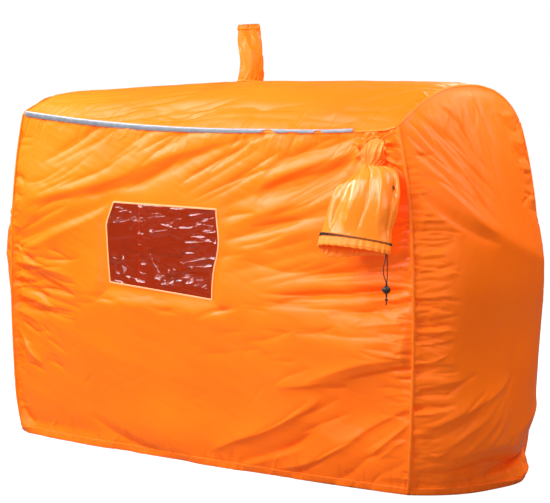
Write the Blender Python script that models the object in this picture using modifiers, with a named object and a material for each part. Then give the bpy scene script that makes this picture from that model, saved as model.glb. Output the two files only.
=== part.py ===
"""Pole-less group shelter of thin coated fabric, in the shape that it has in use.

The bag has a front and a rear panel, two end panels that are pushed out from inside
and an arched roof. It stands on its hem and on two seat panels, and it is open
underneath. A window, two tube vents and a drawcord with a ball cord lock complete it.

Metres, +Z up. The front faces -Y and the right end faces +X. The model is first laid
out round the middle of its footprint, and at the end everything is moved so that the
origin lies under the middle of its bounding box.
"""

import math

import bmesh
import bpy
from mathutils import Matrix, Vector

COLLECTION_NAME = "emergency_tent"

# Overall sizes, measured between the seams that join the panels
LENGTH = 1.460
WIDTH = 0.470
WALL_HEIGHT = 0.900
RIDGE_RISE = 0.107

# How the stretched fabric departs from a plain box
ROOF_SEAM_SAG = 0.028
RIDGE_LEFT_DROP = 0.048
RIDGE_LEFT_DROP_LENGTH = 0.50
CORNER_BOW_RIGHT = 0.022
CORNER_BOW_LEFT = 0.015
CORNER_BOW_SIDE = 0.010
CORNER_DRAW_IN_RIGHT = 0.040
CORNER_DRAW_IN_LEFT = 0.032
CORNER_TUCK_RIGHT = 0.018
CORNER_TUCK_LEFT = 0.009
CORNER_TUCK_LEVEL = 0.15
REAR_RIGHT_DRAW_IN = 0.022
REAR_RIGHT_DRAW_IN_LEVEL = 0.20
REAR_RIGHT_DRAW_IN_SPREAD = 0.17
SIDE_BULGE_GROUND = 0.032
SIDE_BULGE_TOP = 0.005
END_BULGE_GROUND = 0.100
END_BULGE_TOP = 0.020
BACK_BUMP_RIGHT = 0.016
BACK_BUMP_LEFT = 0.060
BACK_BUMP_LEVEL = 0.56
BACK_BUMP_SPREAD = 0.15

# Cloth, seams and the clearance between neighbouring pieces
CLOTH = 0.0012
GAP = 0.0005
SEAM_RADIUS = 0.003
EDGE_GAP = 0.0007
SEAM_EDGE = SEAM_RADIUS + EDGE_GAP
SEAM_END = SEAM_RADIUS + 2 * GAP
HEM_HEIGHT = 0.018
HEM_THICKNESS = 0.003
SEAT_DEPTH = 0.340
SEAT_THICKNESS = 0.0015

# Facets along the hem bands, which the seat panels' edges follow
FRONT_HEM_COLUMNS = 30
REAR_HEM_COLUMNS = 20
END_HEM_COLUMNS = 14

# Window of clear film in the front panel
WINDOW_CENTRE_X = -0.100
WINDOW_BELOW_ROOF = 0.340
WINDOW_WIDTH = 0.393
WINDOW_HEIGHT = 0.224
WINDOW_BOTTOM_SLANT = 0.009
WINDOW_BINDING_WIDTH = 0.012
WINDOW_BINDING_THICKNESS = 0.0018
FILM_THICKNESS = 0.0008
WINDOW_CLEARANCE = 0.0008

# Reflective tape along the roof seams
TAPE_WIDTH = 0.017
TAPE_THICKNESS = 0.0008
TAPE_ABOVE_SEAM = 0.0075
TAPE_LEFT = -0.985
TAPE_RIGHT = 0.790
REAR_TAPE_END = 0.960

# Side vent: a sleeve that hangs from a round hole near the front right corner
SIDE_VENT_FROM_END = 0.105
SIDE_VENT_BELOW_ROOF = 0.060
SIDE_VENT_RADIUS = 0.034
COLLAR_RADIUS = 0.0025
SLEEVE_THICKNESS = 0.0012
SLEEVE_SIDES = 32
SLEEVE_ROWS = 10
SLEEVE_PLEATS = 5
SLEEVE_PLEAT_SHARE = 0.07
SLEEVE_LAP = 0.004
CASING_HEIGHT = 0.026
CASING_WALL = 0.0010
STITCH_WIDTH = 0.0035
STITCH_THICKNESS = 0.0006
STITCH_FROM_EDGE = 0.001
SEWN_CLEARANCE = 0.0004
TAB_WIDTH = 0.008
TAB_THICKNESS = 0.002
TAB_HEIGHT = 0.010
TAB_ROW = 5

# Roof vent: a sleeve that stands behind the ridge, flattened and twisted to its tip
ROOF_VENT_X = -0.098
ROOF_VENT_Y = 0.060
ROOF_VENT_RADIUS = 0.034
ROOF_VENT_HEIGHT = 0.152
ROOF_VENT_TWIST = 70.0
ROOF_TIP_TURN = 40.0
ROOF_CUFF_HEIGHT = 0.014
ROOF_EYELET_RADIUS = 0.0028

# Drawcord, ball cord lock and knot
CORD_DIAMETER = 0.0025
CORD_SPACING = 0.0034
CORD_CLEARANCE = 0.0004
EYELET_WIRE = 0.0009
BALL_DIAMETER = 0.020
LOCK_DROP = 0.0855
KNOT_DROP = 0.1095
KNOT_RADIUS = 0.0042
PLUNGER_DIAMETER = 0.0100
PLUNGER_TRAVEL = 0.0020
PLUNGER_CLEARANCE = 0.0003
PLUNGER_WALL = 0.0013
PLUNGER_PROUD = 0.0008
SPRING_ROOM = 0.0042
SPRING_WIRE = 0.0006
SPRING_RADIUS = 0.0037
SPRING_TURNS = 3

# Hinge lines of the two vents lie this far outside the edges of their roots
HINGE_CLEARANCE = 0.003

# Places that follow from the sizes above
WINDOW_CENTRE_Z = WALL_HEIGHT - WINDOW_BELOW_ROOF
SIDE_VENT_X = LENGTH / 2 - SIDE_VENT_FROM_END
SIDE_VENT_Z = WALL_HEIGHT - SIDE_VENT_BELOW_ROOF
PANEL_LEVEL = (HEM_HEIGHT + GAP) / WALL_HEIGHT


def smoothstep(low, high, value):
    """0 below low, 1 above high, smooth between."""
    t = min(max((value - low) / (high - low), 0.0), 1.0)
    return t * t * (3.0 - 2.0 * t)


def catmull_rom(stations, s):
    """Smooth values through a list of equal-length tuples, with s from 0 to 1."""
    last = len(stations) - 1
    place = min(max(s, 0.0), 1.0) * last
    i = min(int(place), last - 1)
    t = place - i
    start = stations[i]
    end = stations[i + 1]
    before = stations[i - 1] if i > 0 else [2.0 * p - q for p, q in zip(start, end)]
    after = stations[i + 2] if i + 2 <= last else [2.0 * q - p for p, q in zip(start, end)]
    values = []
    for p0, p1, p2, p3 in zip(before, start, end, after):
        linear = (p2 - p0) * t
        square = (2.0 * p0 - 5.0 * p1 + 4.0 * p2 - p3) * t * t
        cube = (3.0 * p1 - p0 - 3.0 * p2 + p3) * t ** 3
        values.append(0.5 * (2.0 * p1 + linear + square + cube))
    return values


def distance_to_stroke(x, z, points):
    """Distance from a point to a polyline, and how far along it the nearest place is."""
    best = None
    spans = len(points) - 1
    for i in range(spans):
        ax, az = points[i]
        bx, bz = points[i + 1]
        dx = bx - ax
        dz = bz - az
        t = ((x - ax) * dx + (z - az) * dz) / (dx * dx + dz * dz)
        t = min(max(t, 0.0), 1.0)
        away = math.hypot(x - ax - t * dx, z - az - t * dz)
        if best is None or away < best[0]:
            best = (away, (i + t) / spans)
    return best


def fold_height(x, z, strokes):
    """Sum of the folds at a point: each is a rounded ridge or valley along a stroke."""
    total = 0.0
    for height, width, points in strokes:
        away, along = distance_to_stroke(x, z, points)
        ends = smoothstep(0.0, 0.25, along) * smoothstep(0.0, 0.25, 1.0 - along)
        total += height * (0.35 + 0.65 * ends) * math.exp(-((away / width) ** 2))
    return total


# The main folds: height of the ridge (negative for a valley), half width, and the
# stroke's points in metres, as (x, z) on the front and (y, z) on the ends
FRONT_FOLDS = (
    (-0.008, 0.030, ((-0.58, 0.67), (-0.37, 0.72), (-0.15, 0.755), (0.14, 0.83))),
    (-0.012, 0.032, ((0.60, 0.86), (0.48, 0.84), (0.35, 0.815), (0.25, 0.76))),
    (-0.008, 0.028, ((0.57, 0.79), (0.44, 0.75), (0.33, 0.72), (0.25, 0.705))),
    (0.011, 0.034, ((0.72, 0.24), (0.63, 0.183), (0.55, 0.134), (0.37, 0.083), (0.28, 0.06))),
    (0.008, 0.030, ((0.72, 0.31), (0.55, 0.266), (0.43, 0.232))),
    (-0.011, 0.032, ((-0.70, 0.525), (-0.54, 0.60), (-0.34, 0.70))),
    (0.016, 0.055, ((-0.17, 0.0), (-0.19, 0.12), (-0.22, 0.28))),
    (0.013, 0.050, ((0.09, 0.0), (0.10, 0.10), (0.07, 0.22))),
    (0.010, 0.050, ((-0.42, 0.0), (-0.44, 0.14), (-0.50, 0.30))),
)
REAR_FOLDS = (
    (-0.010, 0.045, ((-0.60, 0.80), (-0.35, 0.70), (-0.10, 0.66))),
    (-0.010, 0.045, ((0.60, 0.80), (0.35, 0.72), (0.12, 0.66))),
    (0.012, 0.055, ((-0.30, 0.0), (-0.33, 0.16), (-0.42, 0.34))),
    (0.012, 0.055, ((0.26, 0.0), (0.28, 0.16), (0.38, 0.34))),
)
RIGHT_END_FOLDS = (
    (-0.012, 0.030, ((-0.22, 0.78), (-0.16, 0.727), (-0.10, 0.69), (-0.03, 0.65))),
    (0.009, 0.030, ((-0.22, 0.27), (-0.14, 0.29), (-0.05, 0.30))),
    (0.010, 0.032, ((-0.22, 0.16), (-0.11, 0.195), (0.02, 0.23))),
    (0.010, 0.040, ((0.21, 0.20), (0.12, 0.17), (0.03, 0.12))),
)
LEFT_END_FOLDS = (
    (-0.010, 0.036, ((0.21, 0.78), (0.13, 0.72), (0.04, 0.67))),
    (0.010, 0.040, ((-0.21, 0.18), (-0.12, 0.15), (-0.02, 0.11))),
    (0.009, 0.036, ((0.21, 0.26), (0.12, 0.29), (0.03, 0.30))),
)
ROOF_FOLDS = (
    (-0.006, 0.035, ((-0.60, -0.13), (-0.30, -0.10), (0.05, -0.12))),
    (-0.006, 0.035, ((0.10, -0.16), (0.36, -0.11), (0.62, -0.14))),
    (-0.006, 0.038, ((-0.55, 0.15), (-0.36, 0.12), (-0.22, 0.14))),
    (-0.007, 0.038, ((0.05, 0.14), (0.30, 0.11), (0.58, 0.15))),
)


def corner_x(side, level):
    """Distance of a corner seam from the middle, from the ground (0) to the roof (1)."""
    bow = CORNER_BOW_RIGHT if side > 0 else CORNER_BOW_LEFT
    draw_in = CORNER_DRAW_IN_RIGHT if side > 0 else CORNER_DRAW_IN_LEFT
    out = bow * math.sin(math.pi * level) - draw_in * level ** 6
    return LENGTH / 2 + out - corner_tuck(side, level)


def corner_tuck(side, level):
    """How far a corner is drawn in near the ground, where the hem is sat on."""
    tuck = CORNER_TUCK_RIGHT if side > 0 else CORNER_TUCK_LEFT
    return tuck * max(0.0, 1.0 - level / CORNER_TUCK_LEVEL) ** 2


def corner_y(side, facing, level):
    """Distance of a corner seam from the middle plane; the rear right one is drawn in."""
    out = WIDTH / 2 + CORNER_BOW_SIDE * math.sin(math.pi * level) - corner_tuck(side, level)
    if side > 0 and facing > 0:
        away = (level - REAR_RIGHT_DRAW_IN_LEVEL) / REAR_RIGHT_DRAW_IN_SPREAD
        out -= REAR_RIGHT_DRAW_IN * math.exp(-away * away)
    return out


def side_y(facing, u, level):
    """Y of a straight line between two corners, where u runs from -1 to 1."""
    left = corner_y(-1, facing, level)
    right = corner_y(1, facing, level)
    return (left + right) / 2 + u * (right - left) / 2


def signed_x(u, level):
    """X on a long panel, where u runs from -1 at the left corner seam to 1."""
    left = corner_x(-1, level)
    right = corner_x(1, level)
    return (right - left) / 2 + u * (left + right) / 2


def roof_seam_z(u):
    return WALL_HEIGHT - ROOF_SEAM_SAG * (1.0 - u * u)


def ridge_z(u):
    """Height of the ridge: nearly level, and lower where the left end panel begins."""
    from_left = (u + 1.0) * LENGTH / 2
    return WALL_HEIGHT + RIDGE_RISE - RIDGE_LEFT_DROP * math.exp(-from_left / RIDGE_LEFT_DROP_LENGTH)


def arch_z(u, v):
    """Roof height across the width, where v runs from -1 at the front seam to 1."""
    edge = roof_seam_z(u)
    return edge + (ridge_z(u) - edge) * (1.0 - abs(v) ** 2.2)


def side_bulge(u, level):
    swell = SIDE_BULGE_GROUND * (1.0 - level ** 4) + SIDE_BULGE_TOP
    return swell * (1.0 - abs(u) ** 2.5)


def end_bulge(side, v, level):
    bump = BACK_BUMP_RIGHT if side > 0 else BACK_BUMP_LEFT
    swell = END_BULGE_GROUND * (1.0 - level ** 3) + END_BULGE_TOP * level
    swell += bump * math.exp(-(((level - BACK_BUMP_LEVEL) / BACK_BUMP_SPREAD) ** 2))
    return swell * (1.0 - abs(v) ** 3)


def window_mask(x, z):
    """0 on the window and its binding, 1 well away from it."""
    past_x = abs(x - WINDOW_CENTRE_X) - WINDOW_WIDTH / 2
    past_z = abs(z - WINDOW_CENTRE_Z) - WINDOW_HEIGHT / 2
    return smoothstep(0.010, 0.060, max(past_x, past_z))


def vent_mask(x, z):
    away = math.hypot(x - SIDE_VENT_X, z - SIDE_VENT_Z)
    return smoothstep(SIDE_VENT_RADIUS + 0.010, SIDE_VENT_RADIUS + 0.060, away)


def long_panel_point(facing, u, level):
    """Point on the front panel (facing -1) or the rear panel (facing 1)."""
    x = signed_x(u, level)
    z = level * roof_seam_z(u)
    strokes = FRONT_FOLDS if facing < 0 else REAR_FOLDS
    fade = smoothstep(0.0, 0.09, 1.0 - abs(u)) * smoothstep(0.035, 0.10, WALL_HEIGHT - z)
    if facing < 0:
        fade *= window_mask(x, z) * vent_mask(x, z)
    out = side_y(facing, u, level) + side_bulge(u, level) + fade * fold_height(x, z, strokes)
    return Vector((x, facing * out, z))


def end_panel_point(side, v, level):
    """Point on the right end panel (side 1) or the left end panel (side -1)."""
    y = v * corner_y(side, 1 if v > 0 else -1, level)
    z = level * arch_z(side, v)
    strokes = RIGHT_END_FOLDS if side > 0 else LEFT_END_FOLDS
    fade = smoothstep(0.0, 0.25, 1.0 - abs(v)) * smoothstep(0.02, 0.10, WALL_HEIGHT - z)
    out = corner_x(side, level) + end_bulge(side, v, level) + fade * fold_height(y, z, strokes)
    return Vector((side * out, y, z))


def roof_point(u, v):
    """Point on the roof panel."""
    left = -corner_x(-1, 1.0) - end_bulge(-1, v, 1.0)
    right = corner_x(1, 1.0) + end_bulge(1, v, 1.0)
    x = (left + right) / 2 + u * (right - left) / 2
    y = v * (side_y(1 if v > 0 else -1, u, 1.0) + side_bulge(u, 1.0))
    fade = smoothstep(0.0, 0.10, 1.0 - abs(u)) * smoothstep(0.0, 0.25, 1.0 - abs(v))
    away = math.hypot(x - ROOF_VENT_X, y - ROOF_VENT_Y)
    fade *= smoothstep(ROOF_VENT_RADIUS + 0.005, ROOF_VENT_RADIUS + 0.05, away)
    return Vector((x, y, arch_z(u, v) + fade * fold_height(x, y, ROOF_FOLDS)))


def long_panel_y(facing, x, z):
    """Y of a long panel's middle surface straight behind a point of its elevation."""
    level = z / WALL_HEIGHT
    u = 0.0
    for _ in range(8):
        left = corner_x(-1, level)
        right = corner_x(1, level)
        u = (x - (right - left) / 2) / ((left + right) / 2)
        level = z / roof_seam_z(u)
    return long_panel_point(facing, u, level).y


def front_y(x, z):
    return long_panel_y(-1, x, z)


def roof_z(x, y):
    """Z of the roof panel's middle surface at a point of its plan."""
    u = x / corner_x(1, 1.0)
    half_width = side_y(1, 0.0, 1.0)
    v = y / half_width
    for _ in range(8):
        point = roof_point(u, v)
        u += (x - point.x) / corner_x(1, 1.0)
        v += (y - point.y) / half_width
    return roof_point(u, v).z


# Scene set-up, materials and the small builders that every piece uses
for old in list(bpy.data.objects):
    bpy.data.objects.remove(old, do_unlink=True)

parts = bpy.data.collections.new(COLLECTION_NAME)
bpy.context.scene.collection.children.link(parts)
cutters = bpy.data.collections.new("cutters")
bpy.context.scene.collection.children.link(cutters)


def make_material(name, colour, roughness, metallic=0.0, alpha=1.0):
    material = bpy.data.materials.new(name)
    material.use_nodes = True
    shader = material.node_tree.nodes["Principled BSDF"]
    shader.inputs["Base Color"].default_value = (*colour, 1.0)
    shader.inputs["Roughness"].default_value = roughness
    shader.inputs["Metallic"].default_value = metallic
    shader.inputs["Alpha"].default_value = alpha
    return material


orange_nylon = make_material("orange_nylon", (0.98, 0.30, 0.03), 0.45)
binding_tape = make_material("binding_tape", (0.95, 0.36, 0.06), 0.55)
seat_fabric = make_material("seat_fabric", (0.75, 0.20, 0.02), 0.70)
clear_film = make_material("clear_film", (0.95, 0.80, 0.72), 0.08, alpha=0.30)
reflective_tape = make_material("reflective_tape", (0.46, 0.50, 0.58), 0.30)
dark_thread = make_material("dark_thread", (0.06, 0.03, 0.02), 0.80)
dark_cord = make_material("dark_cord", (0.03, 0.03, 0.035), 0.75)
black_plastic = make_material("black_plastic", (0.02, 0.02, 0.022), 0.35)
spring_steel = make_material("spring_steel", (0.60, 0.60, 0.62), 0.30, metallic=1.0)
eyelet_metal = make_material("eyelet_metal", (0.25, 0.22, 0.20), 0.40, metallic=1.0)


def add_object(name, data, material, collection=parts):
    item = bpy.data.objects.new(name, data)
    if material is not None:
        data.materials.append(material)
    collection.objects.link(item)
    return item


def surface_mesh(name, place, columns, rows, closed=False):
    """A grid whose corners are placed by place(a, b), with a and b from 0 to 1."""
    grid = bmesh.new()
    bmesh.ops.create_grid(grid, x_segments=columns, y_segments=rows, size=1.0)
    for vert in grid.verts:
        vert.co = place((vert.co.x + 1.0) / 2.0, (vert.co.y + 1.0) / 2.0)
    if closed:
        bmesh.ops.remove_doubles(grid, verts=grid.verts, dist=0.00001)
    bmesh.ops.triangulate(grid, faces=grid.faces)
    mesh = bpy.data.meshes.new(name)
    grid.to_mesh(mesh)
    grid.free()
    mesh.shade_smooth()
    return mesh


def shell(name, place, columns, rows, thickness, material, closed=False):
    """An open surface made solid, with its middle where place() puts it."""
    item = add_object(name, surface_mesh(name, place, columns, rows, closed), material)
    solidify = item.modifiers.new("thickness", "SOLIDIFY")
    solidify.thickness = thickness
    solidify.offset = 0.0
    solidify.use_even_offset = False
    return item


def tube(name, points, radius, material, cyclic=False, resolution=1):
    """A round wire, cord or bound seam along the points."""
    curve = bpy.data.curves.new(name, "CURVE")
    curve.dimensions = "3D"
    curve.bevel_depth = radius
    curve.bevel_resolution = resolution
    curve.use_fill_caps = not cyclic
    spline = curve.splines.new("POLY")
    spline.points.add(len(points) - 1)
    for node, point in zip(spline.points, points):
        node.co = (*point, 1.0)
    spline.use_cyclic_u = cyclic
    return add_object(name, curve, material)


def cut(item, cutter):
    """Takes a cutter's volume out of a piece."""
    cutter.hide_render = True
    cutter.display_type = "WIRE"
    boolean = item.modifiers.new("cut_" + cutter.name, "BOOLEAN")
    boolean.operation = "DIFFERENCE"
    boolean.object = cutter


def mesh_object(name, build, material, collection=parts):
    """An object from a bmesh that build() fills."""
    draft = bmesh.new()
    build(draft)
    mesh = bpy.data.meshes.new(name)
    draft.to_mesh(mesh)
    draft.free()
    return add_object(name, mesh, material, collection)


def round_cutter(name, centre, radius, depth, axis, sides=32):
    """A cylinder that cuts, or a round pin, along axis."""
    def build(draft):
        bmesh.ops.create_cone(draft, cap_ends=True, segments=sides, radius1=radius,
                              radius2=radius, depth=depth)
        turn = Vector((0.0, 0.0, 1.0)).rotation_difference(axis).to_matrix()
        bmesh.ops.rotate(draft, verts=draft.verts, matrix=turn)
        bmesh.ops.translate(draft, verts=draft.verts, vec=centre)
    return mesh_object(name, build, None, cutters)


def box_corners(draft, low, high):
    """A box between two corners."""
    bmesh.ops.create_cube(draft, size=1.0)
    size = high - low
    bmesh.ops.scale(draft, verts=draft.verts, vec=size)
    bmesh.ops.translate(draft, verts=draft.verts, vec=(low + high) / 2)


def inset(surface, along, edge, gap):
    """Share of the way in from an edge at which the surface is gap away from its seam."""
    def at(share, shift=0.0):
        if edge == "left":
            return surface(share, along + shift)
        if edge == "right":
            return surface(1.0 - share, along + shift)
        if edge == "low":
            return surface(along + shift, share)
        return surface(along + shift, 1.0 - share)
    tangent = (at(0.0, 0.005) - at(0.0, -0.005)).normalized()
    share = 0.01
    for _ in range(8):
        away = at(share) - at(0.0)
        away -= tangent * away.dot(tangent)
        share *= gap / max(away.length, 1e-9)
    return share


def panel_place(surface, hem):
    """Places a panel's grid: clear of the seams at its edges, or down to its hem."""
    def place(a, b):
        if hem:
            low = (HEM_HEIGHT + GAP) / surface(a, 1.0).z
        else:
            low = inset(surface, a, "low", SEAM_EDGE)
        high = inset(surface, a, "high", SEAM_EDGE)
        level = low + b * (1.0 - low - high)
        left = inset(surface, level, "left", SEAM_EDGE)
        right = inset(surface, level, "right", SEAM_EDGE)
        return surface(left + a * (1.0 - left - right), level)
    return place


def front_surface(a, b):
    return long_panel_point(-1, 2.0 * a - 1.0, b)


def rear_surface(a, b):
    return long_panel_point(1, 2.0 * a - 1.0, b)


def right_surface(a, b):
    return end_panel_point(1, 2.0 * a - 1.0, b)


def left_surface(a, b):
    return end_panel_point(-1, 2.0 * a - 1.0, b)


def roof_surface(a, b):
    return roof_point(2.0 * a - 1.0, 2.0 * b - 1.0)


# The five panels
front_panel = shell("front_panel", panel_place(front_surface, True), 29, 18, CLOTH, orange_nylon)
shell("rear_panel", panel_place(rear_surface, True), 18, 12, CLOTH, orange_nylon)
shell("right_end_panel", panel_place(right_surface, True), 14, 16, CLOTH, orange_nylon)
shell("left_end_panel", panel_place(left_surface, True), 14, 14, CLOTH, orange_nylon)
roof_panel = shell("roof_panel", panel_place(roof_surface, False), 25, 12, CLOTH, orange_nylon)


def window_corners(grow):
    """The window opening's corners as (x, z), grown outwards by grow."""
    half_x = WINDOW_WIDTH / 2 + grow
    half_z = WINDOW_HEIGHT / 2 + grow
    left = WINDOW_CENTRE_X - half_x
    right = WINDOW_CENTRE_X + half_x
    low = WINDOW_CENTRE_Z - half_z
    high = WINDOW_CENTRE_Z + half_z
    slant = WINDOW_BOTTOM_SLANT
    return ((left, low + slant), (right, low - slant), (right, high), (left, high))


def window_cutter():
    """A block through the front panel in the outline of the window's binding."""
    corners = window_corners(WINDOW_BINDING_WIDTH + WINDOW_CLEARANCE)

    def build(draft):
        box_corners(draft, Vector((0, -WIDTH, 0)), Vector((1, -WIDTH / 4, 1)))
        for vert in draft.verts:
            column = 1 if vert.co.x > 0.5 else 0
            index = (3 - column) if vert.co.z > 0.5 else column
            vert.co.x, vert.co.z = corners[index]
    return mesh_object("window_cutter", build, None, cutters)


cut(front_panel, window_cutter())


def quad_point(corners, a, b):
    low_left, low_right, high_right, high_left = corners
    low = [p + (q - p) * a for p, q in zip(low_left, low_right)]
    high = [p + (q - p) * a for p, q in zip(high_left, high_right)]
    return [p + (q - p) * b for p, q in zip(low, high)]


def film_place(a, b):
    x, z = quad_point(window_corners(-WINDOW_CLEARANCE), a, b)
    return Vector((x, front_y(x, z), z))


def binding_place(a, b):
    """a runs round the opening, b from its inner edge to its outer edge."""
    corners = window_corners(b * WINDOW_BINDING_WIDTH)
    side = int(a * 4.0 + 1e-6) % 4
    t = a * 4.0 - int(a * 4.0 + 1e-6)
    x0, z0 = corners[side]
    x1, z1 = corners[(side + 1) % 4]
    x = x0 + (x1 - x0) * t
    z = z0 + (z1 - z0) * t
    return Vector((x, front_y(x, z), z))


shell("window_film", film_place, 10, 6, FILM_THICKNESS, clear_film)
shell("window_binding", binding_place, 32, 1, WINDOW_BINDING_THICKNESS, binding_tape, closed=True)


def tape_place(facing, left, right):
    """The tape is folded over the outside of a long panel's roof seam."""
    stand_off = SEAM_RADIUS + GAP + TAPE_THICKNESS / 2

    def place(a, b):
        seam = long_panel_point(facing, left + a * (right - left), 1.0)
        rise = TAPE_ABOVE_SEAM - (1.0 - b) * TAPE_WIDTH
        return seam + Vector((0.0, facing * stand_off, rise))
    return place


shell("front_reflective_tape", tape_place(-1, TAPE_LEFT, TAPE_RIGHT), 26, 1, TAPE_THICKNESS,
      reflective_tape)
shell("rear_reflective_tape", tape_place(1, -REAR_TAPE_END, REAR_TAPE_END), 20, 1,
      TAPE_THICKNESS, reflective_tape)


def seam_points(curve, count):
    """Points along a seam that stop SEAM_END short of its two corner points."""
    first = curve(0.0)
    last = curve(1.0)
    low = 0.01
    high = 0.01
    for _ in range(6):
        low *= SEAM_END / (curve(low) - first).length
        high *= SEAM_END / (curve(1.0 - high) - last).length
    return [curve(low + i / (count - 1) * (1.0 - low - high)) for i in range(count)]


# Bindings of the roof seams
tube("front_roof_seam", seam_points(lambda t: front_surface(t, 1.0), 31), SEAM_RADIUS, binding_tape)
tube("rear_roof_seam", seam_points(lambda t: rear_surface(t, 1.0), 21), SEAM_RADIUS, binding_tape)
tube("right_roof_seam", seam_points(lambda t: right_surface(t, 1.0), 15), SEAM_RADIUS, binding_tape)
tube("left_roof_seam", seam_points(lambda t: left_surface(t, 1.0), 15), SEAM_RADIUS, binding_tape)


def corner_seam(name, side, facing, count):
    """A bound corner seam from the hem up to just below the roof seams."""
    u = float(side)
    low = (HEM_HEIGHT + 2 * GAP) / WALL_HEIGHT
    high = 1.0 - SEAM_END / WALL_HEIGHT
    levels = [low + i / (count - 1) * (high - low) for i in range(count)]
    points = [long_panel_point(facing, u, level) for level in levels]
    return tube(name, points, SEAM_RADIUS, binding_tape)


for seam_name, seam_side, seam_facing in (("front_left_seam", -1, -1), ("front_right_seam", 1, -1),
                                          ("rear_left_seam", -1, 1), ("rear_right_seam", 1, 1)):
    corner_seam(seam_name, seam_side, seam_facing, 18)


def hem_place(surface, shorten):
    """An upright band below a panel's lower edge, standing on the ground."""
    def place(a, b):
        across = a
        if shorten:
            left = inset(surface, PANEL_LEVEL, "left", shorten)
            right = inset(surface, PANEL_LEVEL, "right", shorten)
            across = left + a * (1.0 - left - right)
        point = surface(across, PANEL_LEVEL)
        return Vector((point.x, point.y, b * HEM_HEIGHT))
    return place


END_HEM_SHORTER = HEM_THICKNESS / 2 + 2 * GAP
for band_name, band_surface, band_columns, band_shorter in (
        ("front_hem_band", front_surface, FRONT_HEM_COLUMNS, 0.0),
        ("rear_hem_band", rear_surface, REAR_HEM_COLUMNS, 0.0),
        ("right_hem_band", right_surface, END_HEM_COLUMNS, END_HEM_SHORTER),
        ("left_hem_band", left_surface, END_HEM_COLUMNS, END_HEM_SHORTER)):
    shell(band_name, hem_place(band_surface, band_shorter), band_columns, 1, HEM_THICKNESS,
          binding_tape)


def beside_hem(facing, columns, near, far, clear):
    """Points beside a long hem band between two x values, one at each of its facets."""
    surface = rear_surface if facing > 0 else front_surface
    band = [surface(i / columns, PANEL_LEVEL) for i in range(columns + 1)]
    inside = sorted((point.x for point in band if min(near, far) < point.x < max(near, far)),
                    reverse=near > far)
    edge = []
    for x in [near] + inside + [far]:
        for start, end in zip(band, band[1:]):
            if start.x <= x <= end.x:
                share = (x - start.x) / (end.x - start.x)
                edge.append((x, start.y + share * (end.y - start.y) - facing * clear))
                break
    return edge


def seat_outline(side):
    """The seat panel's edge, clear of the hem bands: front, end and rear, as (x, y)."""
    clear = HEM_THICKNESS / 2 + GAP
    end_surface = right_surface if side > 0 else left_surface
    inner_x = side * (LENGTH / 2 - SEAT_DEPTH)
    outer_x = side * (corner_x(side, PANEL_LEVEL) - 2 * clear)
    front = beside_hem(-1, FRONT_HEM_COLUMNS, inner_x, outer_x, clear)
    rear = beside_hem(1, REAR_HEM_COLUMNS, outer_x, inner_x, clear)
    end = []
    for i in range(1, END_HEM_COLUMNS):
        a = i / END_HEM_COLUMNS
        here = end_surface(a, PANEL_LEVEL)
        along = end_surface(a + 0.01, PANEL_LEVEL) - end_surface(a - 0.01, PANEL_LEVEL)
        inwards = Vector((along.y, -along.x)).normalized() * -side
        end.append((here.x + inwards.x * clear, here.y + inwards.y * clear))
    return front + end + rear


def seat_panel(name, side):
    """A flat panel of heavier fabric on the ground inside an end, to sit on."""
    curve = bpy.data.curves.new(name, "CURVE")
    curve.dimensions = "2D"
    curve.fill_mode = "BOTH"
    curve.extrude = SEAT_THICKNESS / 2
    outline = seat_outline(side)
    spline = curve.splines.new("POLY")
    spline.points.add(len(outline) - 1)
    for node, point in zip(spline.points, outline):
        node.co = (*point, 0.0, 1.0)
    spline.use_cyclic_u = True
    item = add_object(name, curve, seat_fabric)
    item.location.z = SEAT_THICKNESS / 2


seat_panel("right_seat_panel", 1)
seat_panel("left_seat_panel", -1)


# Side vent. Each station holds the sleeve's middle (x, y, z), the half width and half
# depth of its section, and the turn of its wide axis in plan, in degrees
vent_face_y = front_y(SIDE_VENT_X, SIDE_VENT_Z) - CLOTH / 2
ROOT_STAND_OFF = CLOTH / 2 + 2 * GAP + 2 * COLLAR_RADIUS
root_y = vent_face_y + CLOTH / 2 - ROOT_STAND_OFF
SLEEVE_STATIONS = (
    (SIDE_VENT_X, root_y, SIDE_VENT_Z, SIDE_VENT_RADIUS, SIDE_VENT_RADIUS, 0.0),
    (SIDE_VENT_X + 0.003, root_y - 0.018, SIDE_VENT_Z - 0.014, 0.032, 0.021, 2.0),
    (SIDE_VENT_X + 0.008, root_y - 0.032, SIDE_VENT_Z - 0.038, 0.028, 0.014, 6.0),
    (SIDE_VENT_X + 0.012, root_y - 0.044, SIDE_VENT_Z - 0.078, 0.070, 0.020, 10.0),
    (SIDE_VENT_X + 0.010, root_y - 0.053, SIDE_VENT_Z - 0.122, 0.081, 0.024, 14.0),
    (SIDE_VENT_X + 0.008, root_y - 0.063, SIDE_VENT_Z - 0.165, 0.087, 0.026, 18.0),
    (SIDE_VENT_X + 0.008, root_y - 0.075, SIDE_VENT_Z - 0.206, 0.091, 0.027, 20.0),
    (SIDE_VENT_X + 0.009, root_y - 0.085, SIDE_VENT_Z - 0.234, 0.092, 0.027, 20.0),
)
SLEEVE_END = 6.0 / 7.0
CASING_SHARE = (1.0 - SLEEVE_END) / CASING_HEIGHT


def section_frame(stations, s, first_direction):
    """Middle, half sizes and the two axes of a sleeve's section at s from 0 to 1."""
    x, y, z, wide, deep, turn = catmull_rom(stations, s)
    step = 0.02
    back = Vector(catmull_rom(stations, s - step)[:3])
    ahead = Vector(catmull_rom(stations, s + step)[:3])
    direction = (ahead - back).normalized()
    mix = smoothstep(0.0, 0.16, s)
    direction = first_direction.lerp(direction, mix).normalized()
    angle = math.radians(turn)
    across = Vector((math.cos(angle), math.sin(angle), 0.0))
    across = (across - direction * across.dot(direction)).normalized()
    outward = direction.cross(across)
    return Vector((x, y, z)), wide, deep, across, outward, direction


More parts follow.
